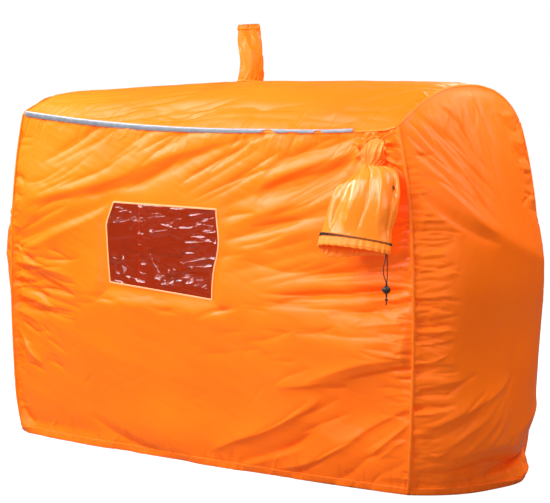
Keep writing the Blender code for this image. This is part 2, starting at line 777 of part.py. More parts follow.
def section_point(stations, s, phi, grow, first_direction, pleat=0.0):
    """Point of a sleeve's oval section, moved out by grow square to the oval."""
    centre, wide, deep, across, outward, _ = section_frame(stations, s, first_direction)
    ripple = 1.0 + pleat * math.cos(SLEEVE_PLEATS * phi)
    normal = across * (math.cos(phi) / wide) + outward * (math.sin(phi) / deep)
    flat = across * wide * math.cos(phi)
    rise = outward * deep * math.sin(phi)
    return centre + (flat + rise) * ripple + normal.normalized() * grow


OUT_OF_PANEL = Vector((0.0, -1.0, 0.0))


def sleeve_place(a, b):
    """The sleeve's root follows the slope of the panel and hangs free further down."""
    s = b * (SLEEVE_END + SLEEVE_LAP * CASING_SHARE)
    pleat = SLEEVE_PLEAT_SHARE * math.sin(math.pi * b) ** 2
    point = section_point(SLEEVE_STATIONS, s, a * 2 * math.pi, 0.0, OUT_OF_PANEL, pleat)
    root = front_y(point.x, point.z) - ROOT_STAND_OFF
    reach = (root - root_y) * (1.0 - smoothstep(0.0, 0.3, b))
    return point + Vector((0.0, reach, 0.0))


def ring_points(place, count):
    return [place(i / count) for i in range(count)]


def collar_point(t):
    phi = t * 2 * math.pi
    x = SIDE_VENT_X + SIDE_VENT_RADIUS * math.cos(phi)
    z = SIDE_VENT_Z + SIDE_VENT_RADIUS * math.sin(phi)
    return Vector((x, front_y(x, z) - CLOTH / 2 - GAP - COLLAR_RADIUS, z))


vent_hole = round_cutter("side_vent_hole", Vector((SIDE_VENT_X, vent_face_y, SIDE_VENT_Z)),
                         SIDE_VENT_RADIUS - COLLAR_RADIUS, 0.1, OUT_OF_PANEL, 24)
cut(front_panel, vent_hole)
tube("side_vent_collar", ring_points(collar_point, 28), COLLAR_RADIUS, binding_tape, cyclic=True)
shell("side_vent_sleeve", sleeve_place, SLEEVE_SIDES, SLEEVE_ROWS, SLEEVE_THICKNESS, orange_nylon,
      closed=True)

# The cuff is folded up inside itself round the drawcord. Its two legs are sewn to the
# sleeve's end between them, and stand further apart below, where the cord runs
channel_half = CORD_DIAMETER / 2 + CORD_CLEARANCE + CASING_WALL / 2
sewn_half = SLEEVE_THICKNESS / 2 + SEWN_CLEARANCE + CASING_WALL / 2


def leg_offset(depth):
    """Half the distance between the legs, from the sewn edge (0) to the fold (1)."""
    return sewn_half + (channel_half - sewn_half) * smoothstep(0.2, 0.5, depth)


def casing_place(a, b):
    """b runs down the outer leg, across the fold and up the inner leg."""
    row = round(b * (2 * CASING_LEG_ROWS + 1))
    if row <= CASING_LEG_ROWS:
        depth = row / CASING_LEG_ROWS
        grow = leg_offset(depth)
    else:
        depth = (2 * CASING_LEG_ROWS + 1 - row) / CASING_LEG_ROWS
        grow = -leg_offset(depth)
    s = SLEEVE_END + depth * (1.0 - SLEEVE_END)
    return section_point(SLEEVE_STATIONS, s, a * 2 * math.pi, grow, OUT_OF_PANEL)


CASING_LEG_ROWS = 3
shell("side_vent_cuff", casing_place, SLEEVE_SIDES, 2 * CASING_LEG_ROWS + 1, CASING_WALL,
      orange_nylon, closed=True)

cord_level = 1.0 - (CORD_DIAMETER / 2 + CASING_WALL / 2 + CORD_CLEARANCE + GAP) * CASING_SHARE


def cord_ring_point(t):
    return section_point(SLEEVE_STATIONS, cord_level, t * 2 * math.pi, 0.0, OUT_OF_PANEL)


tube("side_vent_drawcord", ring_points(cord_ring_point, SLEEVE_SIDES), CORD_DIAMETER / 2,
     dark_cord, cyclic=True)


def stitch_place(a, b):
    """The row of dark stitches lies on the cuff, just below its upper edge."""
    depth = (STITCH_FROM_EDGE + b * STITCH_WIDTH) / CASING_HEIGHT
    grow = leg_offset(depth) + CASING_WALL / 2 + GAP + STITCH_THICKNESS / 2
    s = SLEEVE_END + depth * (1.0 - SLEEVE_END)
    return section_point(SLEEVE_STATIONS, s, a * 2 * math.pi, grow, OUT_OF_PANEL)


shell("side_vent_stitching", stitch_place, SLEEVE_SIDES, 1, STITCH_THICKNESS, dark_thread, closed=True)

# A small folded tab, bartacked on the sleeve's right edge
tab_share = TAB_ROW / SLEEVE_ROWS
tab_seat = sleeve_place(0.0, tab_share)
tab_across = section_frame(SLEEVE_STATIONS, tab_share * SLEEVE_END, OUT_OF_PANEL)[3]
tab_across = Vector((tab_across.x, tab_across.y, 0.0)).normalized()
tab_centre = tab_seat + tab_across * (SLEEVE_THICKNESS / 2 + 2 * GAP + TAB_WIDTH / 2)


def build_tab(draft):
    half = Vector((TAB_WIDTH, TAB_THICKNESS, TAB_HEIGHT)) / 2
    box_corners(draft, -half, half)
    turn = Matrix.Rotation(math.atan2(tab_across.y, tab_across.x), 3, "Z")
    bmesh.ops.rotate(draft, verts=draft.verts, matrix=turn)
    bmesh.ops.translate(draft, verts=draft.verts, vec=tab_centre)


mesh_object("side_vent_tab", build_tab, binding_tape)

# Drawcord exit: an eyelet on the fold at the cuff's right end, and two strands that hang
# from it. The eyelet lies square to the sleeve's way down
EYELET_FROM_EDGE = 0.004
EYELET_HALF_X = CORD_DIAMETER / 2 + 2 * CORD_CLEARANCE + EYELET_WIRE
EYELET_HALF_Y = EYELET_HALF_X + CORD_SPACING / 2
X_AXIS = Vector((1.0, 0.0, 0.0))
exit_ring = section_point(SLEEVE_STATIONS, 1.0, 0.0, 0.0, OUT_OF_PANEL)
exit_across, _, exit_down = section_frame(SLEEVE_STATIONS, 1.0, OUT_OF_PANEL)[3:]
eyelet_centre = (exit_ring - exit_across * EYELET_FROM_EDGE
                 + exit_down * (CASING_WALL / 2 + GAP + EYELET_WIRE))
eyelet_x, eyelet_y, eyelet_z = eyelet_centre
eyelet_wide = (X_AXIS - exit_down * exit_down.x).normalized()
eyelet_deep = exit_down.cross(eyelet_wide)


def eyelet_point(t):
    phi = t * 2 * math.pi
    return (eyelet_centre + eyelet_wide * (EYELET_HALF_X * math.cos(phi))
            + eyelet_deep * (EYELET_HALF_Y * math.sin(phi)))


tube("side_vent_eyelet", ring_points(eyelet_point, 20), EYELET_WIRE, eyelet_metal, cyclic=True)

lock_centre = Vector((eyelet_x, eyelet_y, eyelet_z - LOCK_DROP))
knot_centre = Vector((eyelet_x, eyelet_y, eyelet_z - KNOT_DROP))

# Each strand's route, as sideways moves in x and y and the share of the way down
REAR_STRAND = ((0.0, 0.0, 0.0), (0.0005, 0.0004, 0.18), (0.0010, 0.0008, 0.36),
               (0.0005, 0.0004, 0.50), (0.0, 0.0, 0.62), (0.0, 0.0, 0.70), (0.0, 0.0, 0.85),
               (0.0, 0.0, 1.0))
FRONT_STRAND = ((0.0, 0.0, 0.0), (-0.0012, -0.0010, 0.12), (-0.0046, -0.0042, 0.32),
                (-0.0040, -0.0036, 0.48), (-0.0004, -0.0003, 0.62), (0.0, 0.0, 0.70),
                (0.0, 0.0, 0.85), (0.0, 0.0, 1.0))


def strand_points(route, side, count):
    top = eyelet_z
    bottom = knot_centre.z + KNOT_RADIUS + GAP
    points = []
    for i in range(count):
        dx, dy, down = catmull_rom(route, i / (count - 1))
        points.append(Vector((eyelet_x + dx, eyelet_y + side * CORD_SPACING / 2 + dy,
                              top + (bottom - top) * down)))
    return points


tube("drawcord_strand_rear", strand_points(REAR_STRAND, 1, 20), CORD_DIAMETER / 2, dark_cord,
     resolution=2)
tube("drawcord_strand_front", strand_points(FRONT_STRAND, -1, 20), CORD_DIAMETER / 2, dark_cord,
     resolution=2)


def build_knot(draft):
    bmesh.ops.create_uvsphere(draft, u_segments=14, v_segments=8, radius=KNOT_RADIUS)
    bmesh.ops.scale(draft, verts=draft.verts, vec=(0.9, 1.15, 1.0))
    bmesh.ops.translate(draft, verts=draft.verts, vec=knot_centre)


mesh_object("drawcord_knot", build_knot, dark_cord).data.shade_smooth()

# Ball cord lock: the ball has an upright slot for the strands and a bore for the plunger
SLOT_HALF_X = CORD_DIAMETER / 2 + CORD_CLEARANCE
SLOT_HALF_Y = SLOT_HALF_X + CORD_SPACING / 2
BORE_RADIUS = PLUNGER_DIAMETER / 2 + PLUNGER_CLEARANCE
PLUNGER_INNER = SLOT_HALF_X + PLUNGER_WALL
BORE_END = PLUNGER_INNER + SPRING_ROOM
PLUNGER_OUTER = BALL_DIAMETER / 2 + PLUNGER_PROUD


def build_ball(draft):
    bmesh.ops.create_uvsphere(draft, u_segments=28, v_segments=16, radius=BALL_DIAMETER / 2)
    bmesh.ops.translate(draft, verts=draft.verts, vec=lock_centre)


def slot_cutter(name, extra):
    """An upright block for both strands, longer by extra along the plunger's travel."""
    def build(draft):
        low = lock_centre - Vector((SLOT_HALF_X + extra, SLOT_HALF_Y, BALL_DIAMETER))
        high = lock_centre + Vector((SLOT_HALF_X, SLOT_HALF_Y, BALL_DIAMETER))
        box_corners(draft, low, high)
    return mesh_object(name, build, None, cutters)


ball = mesh_object("cord_lock_ball", build_ball, black_plastic)
ball.data.shade_smooth()
bore_length = BORE_END + BALL_DIAMETER
bore_middle = lock_centre + X_AXIS * (BORE_END - bore_length / 2)
cut(ball, round_cutter("plunger_bore", bore_middle, BORE_RADIUS, bore_length, X_AXIS, 24))
cut(ball, slot_cutter("ball_slot", 0.0))


def build_plunger(draft):
    length = PLUNGER_OUTER + PLUNGER_INNER
    bmesh.ops.create_cone(draft, cap_ends=True, segments=24, radius1=PLUNGER_DIAMETER / 2,
                          radius2=PLUNGER_DIAMETER / 2, depth=length)
    turn = Vector((0.0, 0.0, 1.0)).rotation_difference(X_AXIS).to_matrix()
    bmesh.ops.rotate(draft, verts=draft.verts, matrix=turn)
    middle = lock_centre + X_AXIS * (PLUNGER_INNER - PLUNGER_OUTER) / 2
    bmesh.ops.translate(draft, verts=draft.verts, vec=middle)


plunger = mesh_object("cord_lock_plunger", build_plunger, black_plastic)
cut(plunger, slot_cutter("plunger_slot", PLUNGER_TRAVEL))


def spring_points(count):
    """Coil between the plunger's inner end and the bottom of its bore."""
    start = PLUNGER_INNER + SPRING_WIRE / 2 + PLUNGER_CLEARANCE
    room = SPRING_ROOM - SPRING_WIRE - 2 * PLUNGER_CLEARANCE
    points = []
    for i in range(count):
        t = i / (count - 1)
        phi = t * SPRING_TURNS * 2 * math.pi
        points.append(lock_centre + Vector((start + t * room, SPRING_RADIUS * math.cos(phi),
                                            SPRING_RADIUS * math.sin(phi))))
    return points


tube("cord_lock_spring", spring_points(SPRING_TURNS * 10 + 1), SPRING_WIRE / 2, spring_steel)

# Roof vent. Its wide axis turns on the way up, so that the sleeve looks twisted. Each
# row holds the sideways moves of its middle, the share of the height, the half width and
# half depth as shares of the root's radius, and the share of the twist
ROOF_SECTIONS = (
    (0.000, 0.000, 0.00, 1.00, 1.00, 0.0),
    (0.001, 0.000, 0.18, 1.00, 0.88, 0.15),
    (0.004, -0.001, 0.38, 0.94, 0.76, 0.40),
    (0.001, -0.001, 0.60, 0.91, 0.65, 0.65),
    (-0.006, 0.000, 0.80, 0.88, 0.41, 0.85),
    (-0.008, 0.001, 1.00, 0.79, 0.26, 1.0),
)
UPWARD = Vector((0.0, 0.0, 1.0))
ROOF_SLEEVE_END = 1.0 - ROOF_CUFF_HEIGHT / ROOF_VENT_HEIGHT
roof_root_z = roof_z(ROOF_VENT_X, ROOF_VENT_Y) + ROOT_STAND_OFF


def roof_station_list():
    stations = []
    for dx, dy, up, wide, deep, turn in ROOF_SECTIONS:
        stations.append((ROOF_VENT_X + dx, ROOF_VENT_Y + dy, roof_root_z + up * ROOF_VENT_HEIGHT,
                         wide * ROOF_VENT_RADIUS, deep * ROOF_VENT_RADIUS,
                         (turn - 1.0) * ROOF_VENT_TWIST + ROOF_TIP_TURN))
    return tuple(stations)


roof_stations = roof_station_list()


def roof_collar_point(t):
    phi = t * 2 * math.pi
    x = ROOF_VENT_X + ROOF_VENT_RADIUS * math.cos(phi)
    y = ROOF_VENT_Y + ROOF_VENT_RADIUS * math.sin(phi)
    return Vector((x, y, roof_z(x, y) + CLOTH / 2 + GAP + COLLAR_RADIUS))


def roof_sleeve_place(a, b):
    """The sleeve's foot follows the slope of the roof and levels out on the way up."""
    phi = a * 2 * math.pi
    s = b * (ROOF_SLEEVE_END - GAP / ROOF_VENT_HEIGHT)
    point = section_point(roof_stations, s, phi, 0.0, UPWARD)
    foot = roof_z(point.x, point.y) + ROOT_STAND_OFF
    lift = (foot - roof_root_z) * (1.0 - smoothstep(0.0, 0.35, b))
    return point + Vector((0.0, 0.0, lift))


def roof_cuff_place(a, b):
    s = ROOF_SLEEVE_END + b * (1.0 - ROOF_SLEEVE_END)
    return section_point(roof_stations, s, a * 2 * math.pi, 0.0, UPWARD)


roof_hole = round_cutter("roof_vent_hole", Vector((ROOF_VENT_X, ROOF_VENT_Y, roof_root_z)),
                         ROOF_VENT_RADIUS - COLLAR_RADIUS, 0.2, UPWARD, 24)
cut(roof_panel, roof_hole)
tube("roof_vent_collar", ring_points(roof_collar_point, 24), COLLAR_RADIUS, binding_tape,
     cyclic=True)
shell("roof_vent_sleeve", roof_sleeve_place, 20, 8, SLEEVE_THICKNESS, orange_nylon, closed=True)
shell("roof_vent_cuff", roof_cuff_place, 20, 2, 2 * SLEEVE_THICKNESS, dark_thread, closed=True)

# A small dark eyelet on the outside of the roof vent's cuff
spot_s = ROOF_SLEEVE_END + 0.5 * (1.0 - ROOF_SLEEVE_END)
spot_phi = 1.5 * math.pi
spot_grow = SLEEVE_THICKNESS + GAP + EYELET_WIRE


def spot_point(t):
    across, _, upwards = section_frame(roof_stations, spot_s, UPWARD)[3:]
    middle = section_point(roof_stations, spot_s, spot_phi, spot_grow, UPWARD)
    phi = t * 2 * math.pi
    return middle + (across * math.cos(phi) + upwards * math.sin(phi)) * ROOF_EYELET_RADIUS


tube("roof_vent_eyelet", ring_points(spot_point, 14), EYELET_WIRE, eyelet_metal, cyclic=True)

# Each moving piece hangs from an empty on its joint's axis
side_hinge = Vector((SIDE_VENT_X, root_y, SIDE_VENT_Z + SIDE_VENT_RADIUS + HINGE_CLEARANCE))
roof_hinge_y = ROOF_VENT_Y + ROOF_VENT_RADIUS + HINGE_CLEARANCE
roof_hinge_z = roof_z(ROOF_VENT_X, roof_hinge_y) + ROOT_STAND_OFF
roof_hinge = Vector((ROOF_VENT_X, roof_hinge_y, roof_hinge_z))


def joint_empty(name, place, pieces, parent=None):
    """An empty at place, with the pieces that turn or slide with it as its children."""
    empty = bpy.data.objects.new(name, None)
    empty.empty_display_size = 0.03
    parts.objects.link(empty)
    empty.location = place
    if parent is not None:
        empty.parent = parent
        empty.matrix_parent_inverse = Matrix.Translation(-Vector(parent["joint_place"]))
    empty["joint_place"] = place
    for piece in pieces:
        child = parts.objects[piece]
        child.parent = empty
        child.matrix_parent_inverse = Matrix.Translation(-place)
    return empty


swing = joint_empty("side_vent_swing", side_hinge,
                    ("side_vent_sleeve", "side_vent_cuff", "side_vent_stitching",
                     "side_vent_drawcord", "side_vent_tab", "side_vent_eyelet",
                     "drawcord_strand_rear", "drawcord_strand_front", "drawcord_knot"))
lock_slide = joint_empty("cord_lock_slide", lock_centre, ("cord_lock_ball", "cord_lock_spring"),
                         swing)
joint_empty("plunger_press", lock_centre, ("cord_lock_plunger",), lock_slide)
joint_empty("roof_vent_fold", roof_hinge, ("roof_vent_sleeve", "roof_vent_cuff",
                                           "roof_vent_eyelet"))

# Move everything so that the origin lies under the middle of the shelter's bounding box
CORD_PIECES = {"drawcord_strand_rear", "drawcord_strand_front", "cord_lock_ball",
               "cord_lock_plunger", "cord_lock_spring", "drawcord_knot"}
bpy.context.view_layer.update()
depsgraph = bpy.context.evaluated_depsgraph_get()
low = Vector((1e9, 1e9, 1e9))
high = -low
for item in parts.objects:
    if item.type == "EMPTY" or item.name in CORD_PIECES:
        continue
    evaluated = item.evaluated_get(depsgraph)
    mesh = evaluated.to_mesh()
    for vert in mesh.vertices:
        place = item.matrix_world @ vert.co
        low = Vector(map(min, low, place))
        high = Vector(map(max, high, place))
    evaluated.to_mesh_clear()
shift = Vector((-(low.x + high.x) / 2, -(low.y + high.y) / 2, 0.0))
for item in list(parts.objects) + list(cutters.objects):
    if item.parent is None:
        item.location += shift


def report(label, place):
    print(label, tuple(round(value, 4) for value in place))


report("shift", shift)
report("size", high - low)
report("side vent swing at", side_hinge + shift)
report("roof vent fold at", roof_hinge + shift)
report("cord lock at", lock_centre + shift)
report("drawcord exit at", Vector((eyelet_x, eyelet_y, eyelet_z)) + shift)
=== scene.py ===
"""Looks of a pole-less group shelter of thin coated nylon, stretched as it is in use.

The file follows the shelter as it is sewn: the front panel with its window, the two end
panels, the rear and the roof, then the seams, tapes, hems and seats, then the two tube
vents with the drawcord, and last the studio. Everything is in metres.
"""
import math

import bmesh
import bpy
import numpy as np
from mathutils import Matrix, Vector


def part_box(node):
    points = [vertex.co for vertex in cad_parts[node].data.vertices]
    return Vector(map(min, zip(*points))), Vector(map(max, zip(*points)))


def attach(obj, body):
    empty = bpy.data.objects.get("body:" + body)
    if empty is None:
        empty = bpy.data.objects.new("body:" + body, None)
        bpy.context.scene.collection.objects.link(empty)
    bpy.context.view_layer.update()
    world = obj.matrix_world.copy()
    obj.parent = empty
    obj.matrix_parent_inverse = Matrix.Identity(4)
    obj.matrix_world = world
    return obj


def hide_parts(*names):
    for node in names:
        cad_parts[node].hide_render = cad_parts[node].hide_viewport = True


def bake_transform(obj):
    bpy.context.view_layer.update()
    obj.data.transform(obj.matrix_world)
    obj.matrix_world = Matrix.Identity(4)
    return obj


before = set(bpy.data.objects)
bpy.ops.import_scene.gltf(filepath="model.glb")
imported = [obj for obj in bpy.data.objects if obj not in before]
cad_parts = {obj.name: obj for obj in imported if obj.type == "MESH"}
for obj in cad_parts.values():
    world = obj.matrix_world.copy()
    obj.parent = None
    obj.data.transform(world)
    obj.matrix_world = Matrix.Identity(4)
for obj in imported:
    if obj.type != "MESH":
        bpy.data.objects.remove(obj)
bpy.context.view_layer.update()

# Front panel. One piece of thin coated nylon, pulled tight between the four seams round
# it. It is sewn to the roof along its top edge and to the two end panels at its sides,
# and the window and the side vent are let into it
LENGTH = 1.46
WIDTH = 0.47
WALL_HEIGHT = 0.9
ROOF_SEAM_SAG = 0.028
CORNER_BOW = {1: 0.022, -1: 0.015}
CORNER_DRAW_IN = {1: 0.04, -1: 0.032}
CORNER_TUCK = {1: 0.018, -1: 0.009}
CORNER_TUCK_LEVEL = 0.15
CORNER_BOW_SIDE = 0.01
REAR_RIGHT_DRAW_IN = 0.022
REAR_RIGHT_DRAW_IN_LEVEL = 0.2
REAR_RIGHT_DRAW_IN_SPREAD = 0.17
SIDE_BULGE_GROUND = 0.032
SIDE_BULGE_TOP = 0.005
SIDE_VENT_FROM_END = 0.105
SIDE_VENT_BELOW_ROOF = 0.06
SIDE_VENT_RADIUS = 0.034
SIDE_VENT_X = LENGTH / 2 - SIDE_VENT_FROM_END
SIDE_VENT_Z = WALL_HEIGHT - SIDE_VENT_BELOW_ROOF

# The cut size of the cloth, with the length that the folds take up
FRONT_CUT = (1.56, 0.92)

# The middle of the sewing plan, found from the nodes of the real part
collar_low, collar_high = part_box("side_vent_collar")
middle = np.array([(collar_low.x + collar_high.x) / 2 - SIDE_VENT_X,
                   (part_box("front_left_seam")[0].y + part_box("rear_left_seam")[1].y) / 2, 0.0])


def smooth(low, high, value):
    """0 below low, 1 above high, smooth between."""
    t = np.clip((value - low) / (high - low), 0.0, 1.0)
    return t * t * (3.0 - 2.0 * t)


def hills(x, y, seed):
    """Smooth random hills between about -1 and 1, one or two to each unit of x and y."""
    random = np.random.default_rng(seed)
    turns = random.uniform(0.0, 2.0 * math.pi, (64, 64))
    column = np.floor(x).astype(int)
    row = np.floor(y).astype(int)
    across = x - column
    up = y - row
    blend_x = across * across * (3.0 - 2.0 * across)
    blend_y = up * up * (3.0 - 2.0 * up)
    total = np.zeros(np.shape(across))
    for i in (0, 1):
        for j in (0, 1):
            turn = turns[(column + i) % 64, (row + j) % 64]
            slope = np.cos(turn) * (across - i) + np.sin(turn) * (up - j)
            share_x = blend_x if i else 1.0 - blend_x
            share_y = blend_y if j else 1.0 - blend_y
            total = total + slope * share_x * share_y
    return 1.5 * total


def through(points, place):
    """The Catmull-Rom curve through the points, at places that count the points from 0."""
    knots = np.vstack([2.0 * points[0] - points[1], points, 2.0 * points[-1] - points[-2]])
    index = np.clip(place.astype(int), 0, len(points) - 2)
    t = (place - index)[..., None]
    before, start, end, after = (knots[index + k] for k in range(4))
    square = (2.0 * before - 5.0 * start + 4.0 * end - after) * t ** 2
    cube = (3.0 * start - before - 3.0 * end + after) * t ** 3
    return 0.5 * (2.0 * start + (end - before) * t + square + cube)


def from_stroke(x, y, line):
    """Distance to a line, positive on its left, and the share of the line passed."""
    away = np.full(x.shape, 1e9)
    side = np.ones(x.shape)
    along = np.zeros(x.shape)
    spans = len(line) - 1
    for i in range(spans):
        start = line[i]
        step = line[i + 1] - start
        t = ((x - start[0]) * step[0] + (y - start[1]) * step[1]) / step.dot(step)
        t = np.clip(t, 0.0, 1.0)
        gap_x = x - start[0] - t * step[0]
        gap_y = y - start[1] - t * step[1]
        gap = np.hypot(gap_x, gap_y)
        nearer = gap < away
        away = np.where(nearer, gap, away)
        side = np.where(nearer, np.sign(step[0] * gap_y - step[1] * gap_x), side)
        along = np.where(nearer, (i + t) / spans, along)
    return away * side, along


def folds(x, y, strokes):
    """Height of the folds at each point. Each fold has, in mm, a height, which is negative
    for a valley, and a half width, then a lean and its stroke in mm. With a lean above 0
    the fold falls gently on the left of its stroke and steeply on the right."""
    crest = 0.22
    total = np.zeros(x.shape)
    for height, width, lean, points in strokes:
        place = np.linspace(0.0, len(points) - 1.0, 8 * len(points))
        line = through(np.array(points) / 1000.0, place)
        height = height / 1000.0
        width = width / 1000.0
        reach = 4.0 * width
        low = line.min(0) - reach
        high = line.max(0) + reach
        near = (x > low[0]) & (x < high[0]) & (y > low[1]) & (y < high[1])
        if not near.any():
            continue
        away, along = from_stroke(x[near], y[near], line)
        flank = width * np.where(away > 0.0, 1.0 + lean, 1.0 - lean)
        taper = np.sin(np.pi * np.clip(along, 0.0, 1.0)) ** 0.7
        flank = flank * (0.55 + 0.45 * taper)
        steep = np.sqrt((away / flank) ** 2 + crest ** 2) - crest
        total[near] += height * taper * np.exp(-1.25 * steep)
    return total


def creases(seed, count, low, high, angle, spread, length, depth, width=6.5):
    """Strokes of thin creases in a rectangle, which all run about one way (in degrees).
    Sizes are in mm."""
    random = np.random.default_rng(seed)
    strokes = []
    for _ in range(count):
        centre = random.uniform(low, high)
        turn = math.radians(angle + random.normal(0.0, spread))
        way = np.array([math.cos(turn), math.sin(turn)])
        half = random.uniform(0.4, 1.0) * length / 2
        bow = np.array([-way[1], way[0]]) * random.normal(0.0, 0.07) * half
        strokes.append((-1.6 * depth * random.uniform(0.35, 1.0), width * random.uniform(0.7, 1.3),
                        random.uniform(-0.2, 0.3),
                        (centre - way * half, centre + bow, centre + way * half)))
    return tuple(strokes)


def seam_creases(seed, start, end, inward, pitch, reach, depth, width=5.5, tilt=12.0):
    """Strokes of the short creases, in mm, that a seam from start to end pulls into the
    cloth."""
    random = np.random.default_rng(seed)
    start = np.array(start)
    run = np.array(end) - start
    strokes = []
    for _ in range(int(np.hypot(*run) / pitch)):
        foot = start + run * random.uniform(0.0, 1.0)
        turn = math.radians(random.normal(0.0, tilt))
        way = np.array([inward[0] * math.cos(turn) - inward[1] * math.sin(turn),
                        inward[0] * math.sin(turn) + inward[1] * math.cos(turn)])
        length = reach * random.uniform(0.25, 1.0) ** 1.5
        bow = np.array([-way[1], way[0]]) * random.normal(0.0, 0.08) * length
        sign = -1.0 if random.uniform() < 0.7 else 0.8
        strokes.append((1.5 * sign * depth * random.uniform(0.3, 1.0),
                        width * random.uniform(0.7, 1.3), random.uniform(-0.3, 0.3),
                        (foot - way * length * 0.5, foot + way * length * 0.4 + bow,
                         foot + way * length)))
    return tuple(strokes)


def each(make, rows):
    """The strokes that creases or seam_creases makes of each row."""
    return sum((make(*row) for row in rows), ())


def corner_tuck(side, level):
    """How far a corner is drawn in near the ground."""
    return CORNER_TUCK[side] * np.maximum(0.0, 1.0 - level / CORNER_TUCK_LEVEL) ** 2


def corner_x(side, level):
    """Distance of a corner seam from the middle, from the ground (0) to the roof (1)."""
    out = CORNER_BOW[side] * np.sin(np.pi * level) - CORNER_DRAW_IN[side] * level ** 6
    return LENGTH / 2 + out - corner_tuck(side, level)


def corner_y(side, facing, level):
    """Distance of a corner seam from the middle plane. The rear right one is drawn in."""
    out = WIDTH / 2 + CORNER_BOW_SIDE * np.sin(np.pi * level) - corner_tuck(side, level)
    if side > 0:
        away = (level - REAR_RIGHT_DRAW_IN_LEVEL) / REAR_RIGHT_DRAW_IN_SPREAD
        out = out - np.where(facing > 0, REAR_RIGHT_DRAW_IN * np.exp(-away * away), 0.0)
    return out


def side_y(facing, u, level):
    """Distance from the middle plane of a straight line between two corners."""
    left = corner_y(-1, facing, level)
    right = corner_y(1, facing, level)
    return (left + right) / 2 + u * (right - left) / 2


def signed_x(u, level):
    """X on a long panel, where u runs from -1 at the left corner seam to 1."""
    left = corner_x(-1, level)
    right = corner_x(1, level)
    return (right - left) / 2 + u * (left + right) / 2


def roof_seam_z(u):
    return WALL_HEIGHT - ROOF_SEAM_SAG * (1.0 - u * u)


def side_bulge(u, level):
    swell = SIDE_BULGE_GROUND * (1.0 - level ** 4) + SIDE_BULGE_TOP
    return swell * (1.0 - np.abs(u) ** 2.5)


# The folds of the front, in mm, as height, half width, lean and (x, z) stroke: the long
# ones that hang from the tape and the side vent, those that the right and left seams pull
# in, and those near the ground
FRONT_FOLDS = (
    (7.5, 40, 0.35, ((-660, 655), (-435, 703), (-299, 731), (-147, 787), (53, 835), (200, 872))),
    (-8.5, 26, -0.15, ((-660, 635), (-456, 677), (-323, 701), (-217, 724), (-70, 783), (59, 822),
        (227, 871), (330, 892))),
    (-11, 36, 0.3, ((-760, 530), (-638, 560), (-487, 607), (-352, 652), (-270, 690))),
    (6, 28, 0.2, ((-720, 510), (-587, 545), (-451, 594), (-324, 641))),
    (5, 20, 0.2, ((0, 765), (150, 819), (230, 853), (335, 880))),
    (-11, 24, -0.1, ((262, 775), (315, 807), (371, 823), (454, 840), (508, 859), (620, 882))),
    (8.5, 30, 0.25, ((230, 725), (284, 752), (376, 784), (458, 808), (570, 838))),
    (-10.5, 26, -0.1, ((230, 700), (313, 744), (406, 768), (496, 793), (585, 835))),
    (-6, 30, 0.0, ((60, 650), (117, 678), (238, 719), (352, 742), (500, 775))),
    (5, 28, 0.2, ((136, 630), (267, 671), (384, 698), (520, 735))),
    (-5, 28, 0.1, ((120, 590), (260, 625), (390, 662), (540, 690))),
    (4.5, 32, 0.2, ((126, 548), (248, 588), (389, 628), (530, 655))),
    (-5.5, 30, 0.1, ((140, 510), (270, 540), (400, 575), (560, 605))),
    (-7, 24, 0.35, ((380, 515), (520, 535), (640, 560), (790, 600))),
    (-8, 22, 0.35, ((340, 455), (496, 476), (645, 498), (790, 522))),
    (-7.5, 18, 0.35, ((500, 430), (646, 451), (790, 478))),
    (5.5, 18, 0.25, ((430, 255), (547, 298), (646, 326), (790, 358))),
    (-6, 12, 0.2, ((450, 248), (572, 280), (670, 304), (770, 322))),
    (10, 28, 0.55, ((330, 234), (500, 262), (600, 292), (780, 340))),
    (10.5, 26, 0.45, ((80, 40), (170, 78), (255, 107), (356, 151), (437, 192), (470, 225))),
    (-7.5, 20, 0.1, ((130, 10), (230, 40), (311, 68), (396, 105), (450, 150))),
    (6, 24, 0.35, ((80, -10), (200, 18), (300, 48), (400, 80))),
    (8.5, 17, 0.35, ((300, 20), (420, 48), (543, 110), (599, 150), (653, 180), (750, 228))),
    (6, 12, 0.35, ((600, 82), (661, 124), (720, 168), (760, 200))),
    (5, 12, 0.35, ((640, 85), (690, 118), (740, 148))),
    (6.5, 18, 0.35, ((-770, 482), (-660, 482), (-550, 474), (-430, 458))),
    (-7, 18, 0.1, ((-770, 458), (-660, 452), (-560, 436), (-440, 412))),
    (5, 16, 0.35, ((-770, 440), (-670, 430), (-560, 412))),
    (-6.5, 18, 0.1, ((-770, 416), (-660, 406), (-560, 394), (-400, 376))),
    (5, 14, 0.35, ((-770, 398), (-640, 382), (-520, 366))),
    (-4.5, 14, 0.1, ((-770, 372), (-660, 358), (-560, 340))),
    (4, 12, 0.35, ((-770, 350), (-680, 336), (-610, 318))),
    (7, 14, -0.35, ((-740, 300), (-690, 262), (-655, 230), (-600, 205))),
    (8, 16, 0.2, ((-755, 130), (-725, 60), (-690, 20), (-620, 10))),
    (-5, 14, 0.2, ((-720, 110), (-690, 50), (-640, 30))),
    (-6.5, 20, 0.25, ((-390, 85), (-300, 50), (-222, 29), (-142, 15), (17, 6))),
    (-6, 12, 0.1, ((545, 845), (590, 872), (640, 888), (700, 896))),
    (7, 11, 0.3, ((560, 825), (590, 855), (630, 878))),
    (-7, 10, 0.0, ((665, 893), (690, 872), (705, 845), (740, 820))),
    (6.5, 9, 0.0, ((650, 880), (680, 862), (720, 856))),
    (-6, 9, 0.0, ((660, 858), (690, 846), (735, 850))),
    (6, 9, 0.0, ((662, 835), (695, 826), (740, 800))),
    (-6.5, 10, 0.0, ((655, 815), (690, 800), (745, 765))),
    (4.5, 10, 0.0, ((645, 795), (690, 775), (745, 730))),
)

